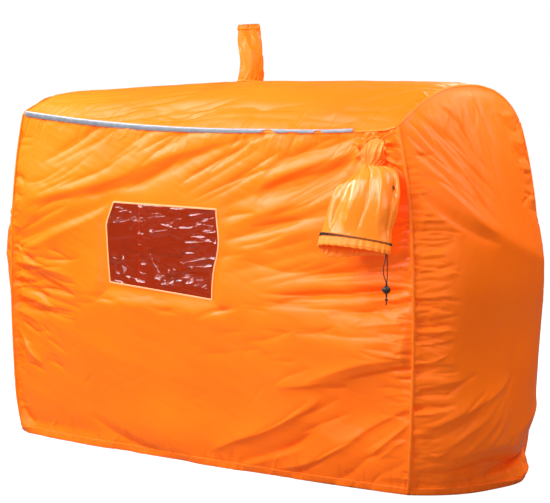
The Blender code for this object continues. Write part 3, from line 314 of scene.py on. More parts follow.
FRONT_CREASES = each(creases, (
    (1, 16, (-560, 755), (200, 860), 26, 3, 340, 4.2, 12),
    (2, 9, (-600, 610), (-300, 760), 18, 3, 340, 4.2, 13),
    (3, 14, (100, 700), (520, 830), 24, 3, 360, 4.2, 11),
    (4, 20, (340, 380), (700, 570), 6, 2.5, 360, 4.4, 10),
    (5, 14, (120, 220), (600, 420), 9, 5, 180, 2.6, 9),
    (6, 26, (-720, 330), (-460, 520), -3, 8, 220, 3.8),
    (7, 14, (-720, 150), (-500, 320), -18, 12, 120, 2.8),
    (8, 14, (-400, 390), (300, 440), 3, 4, 150, 2.2),
    (9, 12, (120, 440), (500, 700), 15, 3, 380, 4, 12),
    (10, 12, (280, 30), (700, 200), 30, 5, 240, 4, 10),
    (11, 5, (-500, 60), (300, 300), 24, 12, 160, 1.2),
    (12, 24, (570, 770), (700, 890), 45, 35, 55, 3.6, 5),
))
FRONT_SEAM_CREASES = each(seam_creases, (
    (21, (745, 30), (735, 860), (-1, -0.03), 11, 120, 2.8, 7, 6),
    (22, (750, 340), (748, 600), (-1, -0.06), 11, 240, 3.6, 8, 4),
    (23, (-742, 30), (-720, 860), (1, 0), 12, 90, 2.2, 8),
    (24, (-744, 360), (-744, 540), (1, 0.08), 9, 260, 3.6, 8),
    (25, (-690, 899), (0, 872), (-0.3, -1), 22, 90, 2),
    (26, (0, 872), (690, 899), (-0.3, -1), 12, 90, 2.4),
    (27, (-740, 12), (745, 12), (0.1, 1), 16, 60, 2.4),
))

# Places where the cloth is pressed out from inside or left slack, as a height, the
# middle of the place in x and z, and its half width and half height
FRONT_PRESSES = (
    (0.016, -0.1, 0.43, 0.6, 0.085),
    (-0.01, 0.0, 0.16, 0.56, 0.1),
    (0.026, -0.56, 0.62, 0.19, 0.12),
    (-0.012, -0.73, 0.45, 0.045, 0.26),
    (0.014, 0.6, 0.36, 0.2, 0.06),
    (0.014, 0.37, 0.25, 0.105, 0.13),
    (-0.018, 0.59, 0.185, 0.11, 0.07),
    (0.01, 0.64, 0.36, 0.12, 0.06),
    (0.01, -0.38, 0.27, 0.2, 0.13),
    (-0.01, -0.64, 0.33, 0.08, 0.11),
    (0.012, -0.52, 0.7, 0.26, 0.085),
    (-0.01, 0.69, 0.64, 0.045, 0.1),
    (0.012, -0.1, 0.06, 0.24, 0.08),
)
WINDOW_CENTRE_X = -0.1
WINDOW_BELOW_ROOF = 0.34
WINDOW_WIDTH = 0.393
WINDOW_HEIGHT = 0.224
WINDOW_BOTTOM_SLANT = 0.009
WINDOW_CENTRE_Z = WALL_HEIGHT - WINDOW_BELOW_ROOF
FLARE_REACH = 0.045
FLARE_OUT = 0.016
GATHER_HEIGHT = 0.006
GATHER_RISE = 0.014
GATHER_REACH = 0.05


def presses(x, y, places):
    total = np.zeros(x.shape)
    for height, middle_x, middle_y, wide, tall in places:
        away = ((x - middle_x) / wide) ** 2 + ((y - middle_y) / tall) ** 2
        total += height * np.exp(-away)
    return total


def fine_wrinkles(along, across, seed):
    """Small drawn-out wrinkles that a tight thin cloth always has."""
    broad = 0.0022 * hills(along / 0.3, across / 0.16, seed)
    middling = 0.0011 * hills(along / 0.16, across / 0.04, seed + 1)
    small = 0.00045 * hills(along / 0.07, across / 0.014, seed + 2)
    return broad + middling + small


def front_relief(x, z):
    """How far the front's folds stand out from its even bulge."""
    past_x = np.abs(x - WINDOW_CENTRE_X) - WINDOW_WIDTH / 2
    past_z = np.abs(z - WINDOW_CENTRE_Z) - WINDOW_HEIGHT / 2
    off_window = smooth(0.002, 0.05, np.maximum(past_x, past_z))
    away = np.hypot(x - SIDE_VENT_X, z - SIDE_VENT_Z)
    off_vent = smooth(SIDE_VENT_RADIUS - 0.006, SIDE_VENT_RADIUS + 0.012, away)
    slope = 0.28 * x + z
    relief = 1.5 * folds(x, z, FRONT_FOLDS) + folds(x, z, FRONT_CREASES)
    relief = relief + fine_wrinkles(x, slope, 11)
    turned = np.arctan2(z - SIDE_VENT_Z, x - SIDE_VENT_X)
    gathers = GATHER_HEIGHT * (1.0 - 2.0 * np.abs(np.sin(6.5 * turned + 0.9 * np.sin(turned))))
    near_vent = np.exp(-((away - SIDE_VENT_RADIUS) / GATHER_REACH) ** 2)
    relief = relief + (gathers + GATHER_RISE) * near_vent
    relief = relief * (0.25 + 0.75 * off_window) * off_vent
    return relief + presses(x, z, FRONT_PRESSES) * off_window * off_vent


EDGE_ROUNDING = 0.005
EDGE_ROUNDING_REACH = 0.03


def edge_rounding(facing, u, away):
    """How far the cloth beside the roof's front edge is drawn in, near the side vent."""
    near_vent = smooth(0.3, 0.75, u) * smooth(0.0, 0.05, (1.0 - np.abs(u)) * LENGTH / 2)
    return np.where(facing < 0, EDGE_ROUNDING, 0.0) * near_vent * np.exp(
        -(away / EDGE_ROUNDING_REACH) ** 2)


def no_relief(across, up):
    """Cloth without folds, for the lines of its seams."""
    return np.zeros(across.shape)


def long_panel(facing, u, level, relief=no_relief, near_seams=()):
    """Points of the front panel (facing -1) or the rear panel (facing 1)."""
    x = signed_x(u, level)
    z = level * roof_seam_z(u)
    from_side = (1.0 - np.abs(u)) * LENGTH / 2
    from_top = roof_seam_z(u) - z
    raised = relief(x, z) * smooth(0.0, 0.022, from_side) * smooth(0.0, 0.02, from_top)
    pulled = folds(x, z, near_seams) * smooth(0.0, 0.005, from_side)
    raised = raised + pulled * smooth(0.0, 0.005, from_top)
    drawn = edge_rounding(facing, u, from_top)
    out = side_y(facing, u, level) + side_bulge(u, level) + raised - drawn
    return x, facing * out, z - drawn


def front_panel(u, level):
    x, y, z = long_panel(-1, u, level, front_relief, FRONT_SEAM_CREASES)
    low = smooth(FLARE_REACH, 0.0, z) * smooth(0.0, 0.08, 1.0 - np.abs(u))
    flare = FLARE_OUT * low * smooth(-0.3, -0.62, u)
    y = y - flare - 0.005 * low * hills(x / 0.1, 0.0 * z, 31)
    return np.stack([x, y, z], -1) + middle


def eased(count, ends):
    """Numbers from 0 to 1 that lie closer together at both ends."""
    even = np.linspace(0.0, 1.0, count)
    return even - ends * np.sin(2.0 * np.pi * even) / (2.0 * np.pi)


def grid_mesh(name, points, flat, turned=False, wrapped=False, capped=False):
    """A mesh from an array of points in rows and columns, with the flat cut as its UVs.
    turned faces the other way, and wrapped joins the last column to the first."""
    rows, columns = points.shape[:2]
    spans = columns if wrapped else columns - 1
    row, column = np.meshgrid(np.arange(rows - 1), np.arange(spans), indexing="ij")
    beside = (column + 1) % columns
    corners = [row * columns + column, row * columns + beside,
               (row + 1) * columns + beside, (row + 1) * columns + column]
    cuts = [(row, column), (row, column + 1), (row + 1, column + 1), (row + 1, column)]
    if turned:
        corners.reverse()
        cuts.reverse()
    faces = np.stack(corners, -1).reshape(-1, 4).tolist()
    if capped:
        ends = list(range(columns)), list(range((rows - 1) * columns, rows * columns))
        faces += [ends[0] if turned else ends[0][::-1], ends[1][::-1] if turned else ends[1]]
    mesh = bpy.data.meshes.new(name)
    mesh.from_pydata(points.reshape(-1, 3).tolist(), [], faces)
    wide, tall = flat
    cut = np.stack([np.stack([c / spans * wide, r / (rows - 1) * tall], -1) for r, c in cuts], 2)
    values = np.zeros((len(mesh.loops), 2), np.float32)
    values[:cut.reshape(-1, 2).shape[0]] = cut.reshape(-1, 2)
    mesh.uv_layers.new(name="flat").data.foreach_set("uv", values.ravel())
    mesh.shade_smooth()
    return mesh


def add_piece(name, mesh, material, body="shelter", node=None):
    """Puts a mesh in the scene with its finish, in place of a node if one is given. Without
    a body it is left unattached."""
    item = bpy.data.objects.new(name, mesh)
    bpy.context.scene.collection.objects.link(item)
    mesh.materials.append(material)
    if body:
        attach(item, body)
    if node:
        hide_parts(node)
    return item


def fill(tree, node, sockets):
    """Gives a node's sockets their values, or links them to the outputs of other nodes."""
    for name, value in sockets.items():
        if isinstance(value, bpy.types.NodeSocket):
            tree.links.new(value, node.inputs[name])
        else:
            node.inputs[name].default_value = value


def add_node(tree, kind, sockets=None, **settings):
    """Adds a shader node, with its settings made and its sockets filled. Gives its outputs."""
    node = tree.nodes.new("ShaderNode" + kind)
    for name, value in settings.items():
        setattr(node, name, value)
    fill(tree, node, sockets or {})
    return node.outputs


def maths(tree, operation, *values):
    return add_node(tree, "Math", dict(enumerate(values)), operation=operation)[0]


def new_group(name, given, made):
    """A node group, what it is given and the node for what it puts out. given has each
    input's kind and value, and made each output's kind."""
    group = bpy.data.node_groups.new(name, "ShaderNodeTree")
    for label, (kind, value) in given.items():
        kind = "NodeSocket" + kind
        group.interface.new_socket(label, in_out="INPUT", socket_type=kind).default_value = value
    for label, kind in made.items():
        group.interface.new_socket(label, in_out="OUTPUT", socket_type="NodeSocket" + kind)
    return group, group.nodes.new("NodeGroupInput").outputs, group.nodes.new("NodeGroupOutput")


def new_material(name):
    material = bpy.data.materials.new(name)
    material.use_nodes = True
    return material, material.node_tree, material.node_tree.nodes["Principled BSDF"]


def woven_cloth():
    """Node group: the slow tone changes, fine crinkles and plain weave of a thin cloth."""
    group, given, result = new_group(
        "woven cloth",
        {"Colour": ("Color", (1.0, 0.2, 0.01, 1.0)),
         "Deep colour": ("Color", (0.8, 0.12, 0.005, 1.0)),
         "Threads per metre": ("Float", 2600.0), "Weave": ("Float", 0.15),
         "Crinkle": ("Float", 0.35), "Roughness": ("Float", 0.42)},
        {"Colour": "Color", "Roughness": "Float", "Normal": "Vector"})
    place = add_node(group, "TexCoord")["Object"]
    tone = add_node(group, "TexNoise", {"Scale": 4.5, "Detail": 3.0, "Vector": place})
    spread = add_node(group, "MapRange", {"From Min": 0.35, "From Max": 0.75, "To Max": 0.3,
                                          "Value": tone["Fac"]})
    colour = add_node(group, "Mix", {"Factor": spread["Result"], "A": given["Colour"],
                                     "B": given["Deep colour"]}, data_type="RGBA")

    handled = add_node(group, "TexNoise", {"Scale": 22.0, "Detail": 4.0, "Vector": place})
    shift = maths(group, "MULTIPLY_ADD", handled["Fac"], 0.14, given["Roughness"])
    centred = maths(group, "SUBTRACT", shift, 0.07)

    stretch = add_node(group, "Mapping", {"Scale": (14.0, 14.0, 55.0),
                                          "Rotation": (0.0, 0.25, 0.0), "Vector": place})
    crinkle = add_node(group, "TexNoise", {"Scale": 1.0, "Detail": 4.0, "Roughness": 0.45,
                                           "Vector": stretch["Vector"]})
    crinkled = add_node(group, "Bump", {"Distance": 0.0016, "Strength": given["Crinkle"],
                                        "Height": crinkle["Fac"]})

    flat = add_node(group, "UVMap", uv_map="flat")
    warp = add_node(group, "VectorMath", {0: flat["UV"], "Scale": given["Threads per metre"]},
                    operation="SCALE")
    apart = add_node(group, "SeparateXYZ", {"Vector": warp["Vector"]})
    threads = [maths(group, "SINE", maths(group, "MULTIPLY", apart[axis], math.pi))
               for axis in ("X", "Y")]
    woven = add_node(group, "Bump", {"Distance": 0.0001, "Strength": given["Weave"],
                                     "Height": maths(group, "MULTIPLY", *threads),
                                     "Normal": crinkled["Normal"]})
    fill(group, result, {"Colour": colour["Result"], "Roughness": centred,
                         "Normal": woven["Normal"]})
    return group


cloth_group = woven_cloth()


# Painted glow in place of the light that comes through the cloth: its colour on the
# inner side, and the share of it that the outer side glows with. The inner side's
# colour is a darker share of the cloth's, as painted shade
OUTSIDE_PAINTED_GLOW_SHARE = 0.35
LINING_PAINTED_SHADE_SHARE = 0.25
PAINTED_INSIDE_GLOW = (0.4, 0.03, 0.004)


def cloth_material(name, colour, deep, roughness, crinkle, painted_glow=PAINTED_INSIDE_GLOW, gloss=0.17):
    """Coated cloth, darkened inside as painted shade, with a painted glow on both sides."""
    material, tree, shader = new_material(name)
    cloth = add_node(tree, "Group", {"Colour": (*colour, 1.0), "Deep colour": (*deep, 1.0),
                                     "Roughness": roughness, "Crinkle": crinkle},
                     node_tree=cloth_group)
    inner = add_node(tree, "NewGeometry")["Backfacing"]
    # Painted shade: the inner side's colour is a darker share of the cloth's
    lining_with_painted_shade = add_node(tree, "Mix", {"Factor": inner, "A": cloth["Colour"],
                                    "B": (*[c * LINING_PAINTED_SHADE_SHARE for c in colour], 1.0)},
                      data_type="RGBA")
    # Painted glow: emission on both sides in place of the light that comes through
    painted_glow_colour = add_node(tree, "Mix", {"Factor": inner, "B": (*painted_glow, 1.0),
                                           "A": (*[g * OUTSIDE_PAINTED_GLOW_SHARE for g in painted_glow], 1.0)},
                             data_type="RGBA")
    fill(tree, shader, {"Base Color": lining_with_painted_shade["Result"], "Roughness": cloth["Roughness"],
                        "Normal": cloth["Normal"], "Specular IOR Level": gloss,
                        "Emission Color": painted_glow_colour["Result"], "Emission Strength": 1.0})
    material.cycles.emission_sampling = "NONE"
    return material


ORANGE = (0.97, 0.18, 0.004)
DEEP_ORANGE = (0.88, 0.108, 0.002)
orange_nylon = cloth_material("orange nylon", ORANGE, DEEP_ORANGE, 0.42, 0.14)

FRONT_COLUMNS = 520
FRONT_ROWS = 350
PANEL_LOW_EDGE = 0.006


def panel_grid(columns, rows, ends):
    """Shares across a panel, from -1 to 1, and up it, from its lower edge to 1."""
    return np.meshgrid(2.0 * eased(columns, ends) - 1.0,
                       np.linspace(PANEL_LOW_EDGE / WALL_HEIGHT, 1.0, rows))


across, upward = panel_grid(FRONT_COLUMNS, FRONT_ROWS, 0.45)
front_mesh = grid_mesh("front cloth", front_panel(across, upward), FRONT_CUT)


def window_corners(grow):
    """The window opening's corners as (x, z), grown outwards by grow."""
    half_x = WINDOW_WIDTH / 2 + grow
    half_z = WINDOW_HEIGHT / 2 + grow
    left = WINDOW_CENTRE_X - half_x
    right = WINDOW_CENTRE_X + half_x
    low = WINDOW_CENTRE_Z - half_z
    high = WINDOW_CENTRE_Z + half_z
    slant = WINDOW_BOTTOM_SLANT
    return ((left, low + slant), (right, low - slant), (right, high), (left, high))


def cut_openings(mesh):
    """Cuts the window's straight edges and the vent's round hole out of the front."""
    draft = bmesh.new()
    draft.from_mesh(mesh)
    corners = [Vector((x + middle[0], 0.0, z)) for x, z in window_corners(0.0)]
    margin = 0.04
    low = Vector((min(c.x for c in corners) - margin, -9.0, min(c.z for c in corners) - margin))
    high = Vector((max(c.x for c in corners) + margin, 9.0, max(c.z for c in corners) + margin))
    for start, end in zip(corners, corners[1:] + corners[:1]):
        near = [face for face in draft.faces
                if low.x < face.calc_center_median().x < high.x
                and low.z < face.calc_center_median().z < high.z]
        parts = near + list({e for f in near for e in f.edges}) + list(
            {v for f in near for v in f.verts})
        square = (end - start).cross(Vector((0.0, 1.0, 0.0))).normalized()
        bmesh.ops.bisect_plane(draft, geom=parts, dist=0.00002, plane_co=start, plane_no=square)
    gone = []
    for face in draft.faces:
        centre = face.calc_center_median()
        hole = math.hypot(centre.x - middle[0] - SIDE_VENT_X, centre.z - SIDE_VENT_Z)
        inside = all((end - start).cross(centre - start).y < 0.0
                     for start, end in zip(corners, corners[1:] + corners[:1]))
        if inside or hole < SIDE_VENT_RADIUS - 0.002:
            gone.append(face)
    bmesh.ops.delete(draft, geom=gone, context="FACES")
    loose = [vert for vert in draft.verts if not vert.link_faces]
    bmesh.ops.delete(draft, geom=loose, context="VERTS")
    draft.to_mesh(mesh)
    draft.free()


# The film's slack has pulled the window's upright edges out of line: the left one has a
# sharp notch high up, and the right one a soft bulge
def slack_shift(x, z):
    """Sideways shift of the window's edge and the cloth and film beside it."""
    left = WINDOW_CENTRE_X - WINDOW_WIDTH / 2
    right = WINDOW_CENTRE_X + WINDOW_WIDTH / 2
    above = np.maximum(0.0, 1.0 - np.abs(z - 0.612) / np.where(z > 0.612, 0.06, 0.155))
    notch = -0.022 * above * np.exp(-((x - left) / 0.05) ** 2)
    bulge = 0.018 * np.exp(-((z - 0.585) / 0.06) ** 2) * np.exp(-((x - right) / 0.05) ** 2)
    return notch + bulge


def shift_mesh(mesh):
    count = len(mesh.vertices)
    places = np.empty(count * 3, np.float32)
    mesh.vertices.foreach_get("co", places)
    places = places.reshape(-1, 3)
    places[:, 0] += slack_shift(places[:, 0] - middle[0], places[:, 2])
    mesh.vertices.foreach_set("co", places.ravel())
    mesh.update()


cut_openings(front_mesh)
shift_mesh(front_mesh)
front_cloth = add_piece("front_cloth", front_mesh, orange_nylon, node="front_panel")

# Window. A sheet of clear film sewn behind the opening, creased and glossy, with a narrow
# pale binding round it. It hangs a little slack
FILM_COLUMNS = 240
FILM_ROWS = 150
FILM_CUT = (0.42, 0.25)
BINDING_WIDTH = 0.0048
BINDING_THICKNESS = 0.0016
FILM_FOLDS = (
    (6, 11, 0.2, ((-240, 662), (-140, 667), (0, 660), (90, 650))),
    (3, 10, 0.3, ((-290, 640), (-200, 655), (-80, 668), (80, 668))),
    (-3, 8, 0.2, ((-280, 625), (-180, 648), (-20, 655), (90, 650))),
    (2.6, 7, 0.2, ((-300, 600), (-220, 628), (-120, 640), (0, 638))),
    (3, 8, -0.2, ((-290, 575), (-190, 590), (-50, 612), (80, 640))),
    (-2.6, 9, 0.2, ((-280, 560), (-150, 570), (0, 590), (90, 610))),
    (2.4, 8, 0.2, ((0, 560), (50, 575), (100, 592))),
    (-2.4, 7, 0.2, ((-20, 540), (40, 548), (100, 560))),
    (2.6, 7, -0.2, ((0, 505), (50, 520), (100, 545))),
    (-2.8, 8, 0.0, ((-290, 530), (-260, 500), (-220, 480), (-160, 465))),
    (3, 7, 0.2, ((-280, 545), (-240, 512), (-190, 492), (-120, 478))),
    (-2.2, 7, 0.0, ((-200, 470), (-100, 488), (0, 500), (80, 500))),
    (2.6, 7, 0.0, ((-150, 455), (-50, 470), (30, 470), (90, 460))),
)
FILM_CREASES = each(creases, (
    (31, 40, (-290, 618), (90, 672), 14, 16, 110, 4.4, 4.5),
    (32, 32, (0, 470), (100, 640), 18, 16, 110, 4.4, 4.5),
    (33, 22, (-290, 455), (-50, 530), -28, 22, 120, 3.4, 4.5),
    (34, 18, (-290, 470), (90, 640), 14, 16, 220, 2.4, 5),
))


def square_place(corners, a, b):
    """(x, z) inside four corners, with a and b from 0 to 1."""
    low_left, low_right, high_right, high_left = (np.array(c) for c in corners)
    low = low_left + (low_right - low_left) * a[..., None]
    high = high_left + (high_right - high_left) * a[..., None]
    return low + (high - low) * b[..., None]


def level_at(x, z):
    """The front's u and level straight behind a point of its elevation."""
    level = z / WALL_HEIGHT
    u = np.zeros(np.shape(x))
    for _ in range(8):
        left = corner_x(-1, level)
        right = corner_x(1, level)
        u = (x - (right - left) / 2) / ((left + right) / 2)
        level = z / roof_seam_z(u)
    return u, level


def front_y(x, z):
    """Y of the front cloth at a point of its elevation."""
    return front_panel(*level_at(np.asarray(x, float), np.asarray(z, float)))[..., 1]


def film_points():
    a, b = np.meshgrid(np.linspace(0.0, 1.0, FILM_COLUMNS), np.linspace(0.0, 1.0, FILM_ROWS))
    place = square_place(window_corners(0.002), a, b)
    x, z = place[..., 0], place[..., 1]
    inset = np.minimum(np.minimum(a, 1.0 - a) * WINDOW_WIDTH,
                       np.minimum(b, 1.0 - b) * WINDOW_HEIGHT)
    creased = folds(x, z, FILM_FOLDS + FILM_CREASES)
    crumple = 0.0006 * hills(x / 0.03, z / 0.018, 61)
    ridged = 0.0012 * (1.0 - 2.0 * np.abs(hills(x / 0.075 + z / 0.05, z / 0.02, 63)))
    slack = -0.006 * np.sin(np.pi * a) * np.sin(np.pi * b)
    height = (creased + crumple + ridged) * smooth(0.0, 0.014, inset) + slack
    y = front_y(x, z) + 0.0012 - height
    return np.stack([x + middle[0], y, z], -1)


def film_material():
    """Clear film with a hard gloss and fine scuffs, and patches of painted shade."""
    material, tree, shader = new_material("clear film")
    place = add_node(tree, "TexCoord")["Object"]
    stretch = add_node(tree, "Mapping", {"Scale": (9.0, 9.0, 26.0),
                                         "Rotation": (0.0, -0.3, 0.0), "Vector": place})
    patches_of_painted_shade = add_node(tree, "TexNoise", {"Scale": 1.0, "Detail": 2.0, "Distortion": 1.2,
                                       "Vector": stretch["Vector"]})
    cover = add_node(tree, "MapRange", {"From Min": 0.52, "From Max": 0.74, "To Min": 0.28,
                                        "To Max": 0.5, "Value": patches_of_painted_shade["Fac"]})
    scuff = add_node(tree, "TexNoise", {"Scale": 160.0, "Detail": 3.0, "Vector": place})
    bump = add_node(tree, "Bump", {"Strength": 0.25, "Distance": 0.0006, "Height": scuff["Fac"]})
    # Painted shade: a dark red colour, laid on in patches, darkens the view into the shelter
    fill(tree, shader, {"Base Color": (0.05, 0.012, 0.004, 1.0), "Roughness": 0.1, "IOR": 2.0,
                        "Alpha": cover["Result"], "Normal": bump["Normal"]})
    return material


clear_film = film_material()
film_mesh = grid_mesh("window sheet", film_points(), FILM_CUT)
shift_mesh(film_mesh)
window_sheet = add_piece("window_sheet", film_mesh, clear_film, node="window_film")


def swept(name, centres, across, outward, profile, closed, flat):
    """A strip: a closed profile of (across, outward) offsets, carried along a line. The
    profile is one list of offsets, or one for each station."""
    profile = np.asarray(profile, float)
    if profile.ndim == 2:
        profile = np.broadcast_to(profile, (len(centres),) + profile.shape)
    points = (centres[:, None, :] + profile[..., :1] * across[:, None, :]
              + profile[..., 1:] * outward[:, None, :])
    if closed:
        mesh = grid_mesh(name, points.transpose(1, 0, 2), flat, wrapped=True)
        draft = bmesh.new()
        draft.from_mesh(mesh)
        rows, columns = points.shape[1], points.shape[0]
        draft.verts.ensure_lookup_table()
        for column in range(columns):
            beside = (column + 1) % columns
            last = (rows - 1) * columns
            corners = (last + column, last + beside, beside, column)
            draft.faces.new([draft.verts[i] for i in corners])
    else:
        mesh = grid_mesh(name, points, flat, wrapped=True, capped=True)
        draft = bmesh.new()
        draft.from_mesh(mesh)
    bmesh.ops.recalc_face_normals(draft, faces=draft.faces)
    draft.to_mesh(mesh)
    draft.free()
    mesh.shade_smooth()
    return mesh


def full_turn(count):
    """Even angles round a whole turn."""
    return np.linspace(0.0, 2.0 * np.pi, count, endpoint=False)


def rounded_profile(width, thickness, sides=10):
    """A flat oval, as (across, outward) offsets."""
    turn = full_turn(sides)
    power = 0.6
    wide = np.sign(np.cos(turn)) * np.abs(np.cos(turn)) ** power * width / 2
    deep = np.sign(np.sin(turn)) * np.abs(np.sin(turn)) ** power * thickness / 2
    return np.stack([wide, deep], -1)


def unit(vectors):
    return vectors / np.linalg.norm(vectors, axis=-1, keepdims=True)


def tangents(points, closed=False):
    if closed:
        return unit(np.roll(points, -1, 0) - np.roll(points, 1, 0))
    return unit(np.gradient(points, axis=0))


def binding_points(count=420):
    """The window's edge all the way round, as (x, z)."""
    corners = np.array(window_corners(0.0))
    lengths = np.linalg.norm(np.roll(corners, -1, 0) - corners, axis=1)
    places = np.linspace(0.0, lengths.sum(), count, endpoint=False)
    starts = np.concatenate([[0.0], np.cumsum(lengths)])
    side = np.searchsorted(starts, places, side="right") - 1
    t = ((places - starts[side]) / lengths[side])[:, None]
    return corners[side] * (1.0 - t) + corners[(side + 1) % 4] * t


binding_material = cloth_material("pale binding", (0.95, 0.42, 0.2), (0.85, 0.25, 0.08), 0.45,
                                  0.25)
edge = binding_points()
edge_y = front_y(edge[:, 0], edge[:, 1]) - 0.0006
edge_line = np.stack([edge[:, 0] + middle[0], edge_y, edge[:, 1]], -1)
edge_along = tangents(edge_line, closed=True)
OUT_OF_FRONT = np.array([0.0, -1.0, 0.0])
edge_out = np.broadcast_to(OUT_OF_FRONT, edge_line.shape)
edge_across = unit(np.cross(edge_along, edge_out))
binding_mesh = swept("window edge", edge_line, edge_across, edge_out,
                     rounded_profile(BINDING_WIDTH, BINDING_THICKNESS), True,
                     (BINDING_WIDTH * 2.0, 1.25))
shift_mesh(binding_mesh)
window_edge = add_piece("window_edge", binding_mesh, binding_material,
                        node="window_binding")

# Right end panel. It is pushed out from inside into a full round shape, so its folds run
# from the seams towards the tightest part of that bulge. They are (y, z) strokes in mm
RIDGE_RISE = 0.107
RIDGE_LEFT_DROP = 0.048
RIDGE_LEFT_DROP_LENGTH = 0.5
END_BULGE_GROUND = 0.1
END_BULGE_TOP = 0.02
END_SWELL = {1: 0.016, -1: 0.06}
END_SWELL_LEVEL = 0.56
END_SWELL_SPREAD = 0.15
END_CUT = (0.6, 1.01)
RIGHT_FOLDS = (
    (-24, 13, 0.4, ((-60, 38), (40, 52), (130, 66), (225, 78))),
    (14, 14, 0.2, ((-20, 12), (80, 20), (160, 34), (225, 44))),
    (-6, 9, 0.2, ((60, 90), (140, 110), (220, 150))),
    (22, 70, 0.1, ((-320, 810), (-240, 765), (-140, 690), (0, 615), (180, 550))),
    (-13, 26, 0.25, ((-270, 805), (-240, 768), (-209, 727), (-167, 680), (-113, 641), (-50, 612))),
    (6, 20, -0.2, ((-262, 760), (-231, 722), (-191, 676), (-142, 639))),
    (5.5, 22, 0.3, ((-240, 865), (-201, 790), (-164, 738), (-110, 672), (-60, 640))),
    (5, 12, 0.3, ((-262, 256), (-207, 276), (-120, 290))),
    (-6, 10, 0.1, ((-262, 246), (-215, 262), (-150, 270))),
    (-4, 10, 0.1, ((-262, 232), (-223, 250), (-180, 256))),
    (9.5, 20, 0.35, ((-262, 140), (-194, 182), (-144, 207), (-43, 251), (10, 285))),
    (-5, 16, 0.1, ((-230, 120), (-160, 170), (-80, 205))),
    (5.5, 14, 0.3, ((-200, 90), (-140, 150), (-84, 189), (-30, 240))),
    (5, 14, 0.3, ((-150, 90), (-81, 152), (-33, 202), (0, 270))),
    (4, 12, 0.3, ((-90, 100), (-40, 150), (0, 210))),
    (-15, 15, 0.15, ((190, 35), (86, 60), (-37, 76), (-96, 69), (-149, 61), (-235, 58))),
    (12, 30, -0.4, ((200, 85), (80, 105), (-40, 115), (-170, 95))),
    (-7, 9, 0.1, ((-190, 28), (-104, 34), (-41, 50), (10, 54))),
    (-5, 9, 0.0, ((-240, 48), (-205, 32), (-170, 24))),
    (4.5, 12, 0.2, ((60, 935), (110, 918), (170, 920), (230, 925))),
    (-5.5, 12, 0.1, ((90, 905), (130, 880), (190, 880), (250, 890))),
    (5, 11, 0.2, ((100, 860), (150, 848), (200, 850), (250, 842))),
    (-6, 12, 0.1, ((100, 830), (160, 815), (210, 812), (250, 805))),
    (5.5, 12, 0.2, ((90, 795), (150, 785), (200, 782), (250, 770))),
    (-5.5, 12, 0.1, ((95, 755), (150, 745), (210, 748), (250, 735))),
    (5, 12, 0.2, ((90, 725), (150, 710), (200, 712), (250, 700))),
    (-4.5, 12, 0.1, ((100, 690), (160, 680), (250, 665))),
    (8, 30, 0.2, ((230, 220), (150, 190), (60, 150), (0, 130))),
)
RIGHT_PRESSES = (
    (-0.022, 0.17, 0.1, 0.12, 0.05),
    (-0.01, 0.0, 0.4, 0.26, 0.1),
    (-0.006, -0.08, 0.33, 0.09, 0.11),
    (0.008, -0.06, 0.17, 0.11, 0.07),
)


def ridge_z(u):
    """Height of the ridge: nearly level, and lower where the left end panel begins."""
    from_left = (u + 1.0) * LENGTH / 2
    return WALL_HEIGHT + RIDGE_RISE - RIDGE_LEFT_DROP * np.exp(-from_left / RIDGE_LEFT_DROP_LENGTH)


def arch_z(u, v):
    """Roof height across the width, where v runs from -1 at the front seam to 1."""
    seam = roof_seam_z(u)
    near_left = np.exp(-(((u + 1.0) * LENGTH / 2) / 0.3) ** 2)
    shoulder = 0.01 * near_left * np.exp(-((v + 0.66) / 0.24) ** 2) * smooth(0.0, 0.2, 1.0 + v)
    slack = 0.006 * np.exp(-((u + 0.62) / 0.34) ** 2)
    return seam + (ridge_z(u) - slack - seam) * (1.0 - np.abs(v) ** 2.2) + shoulder


def end_bulge(side, v, level):
    swell = END_BULGE_GROUND * (1.0 - level ** 3) + END_BULGE_TOP * level
    away = (level - END_SWELL_LEVEL) / END_SWELL_SPREAD
    return (swell + END_SWELL[side] * np.exp(-away * away)) * (1.0 - np.abs(v) ** 3)


# The roof seams of the two ends are rounded off by the pull of the cloth on both sides
ROUNDING = 0.009
ROUNDING_REACH = 0.032


def rounding(v, away):
    """How far the cloth beside an end's roof seam is drawn in, both inwards and down."""
    off_corner = smooth(0.0, 0.06, (1.0 - np.abs(v)) * WIDTH / 2)
    return ROUNDING * np.exp(-(away / ROUNDING_REACH) ** 2) * off_corner * smooth(0.9, -0.1, v)


def end_panel(side, v, level, relief=no_relief, near_seams=()):
    """Points of the right end panel (side 1) or the left end panel (side -1)."""
    y = v * corner_y(side, np.sign(v), level)
    z = level * arch_z(side, v)
    from_side = (1.0 - np.abs(v)) * WIDTH / 2
    from_top = arch_z(side, v) - z
    raised = relief(y, z) * smooth(0.0, 0.02, from_side) * smooth(0.0, 0.02, from_top)
    pulled = folds(y, z, near_seams) * smooth(0.0, 0.005, from_side)
    raised = raised + pulled * smooth(0.0, 0.005, from_top)
    drawn = rounding(v, from_top)
    out = corner_x(side, level) + end_bulge(side, v, level) + raised - drawn
    return np.stack([side * out, y, z - drawn], -1) + middle


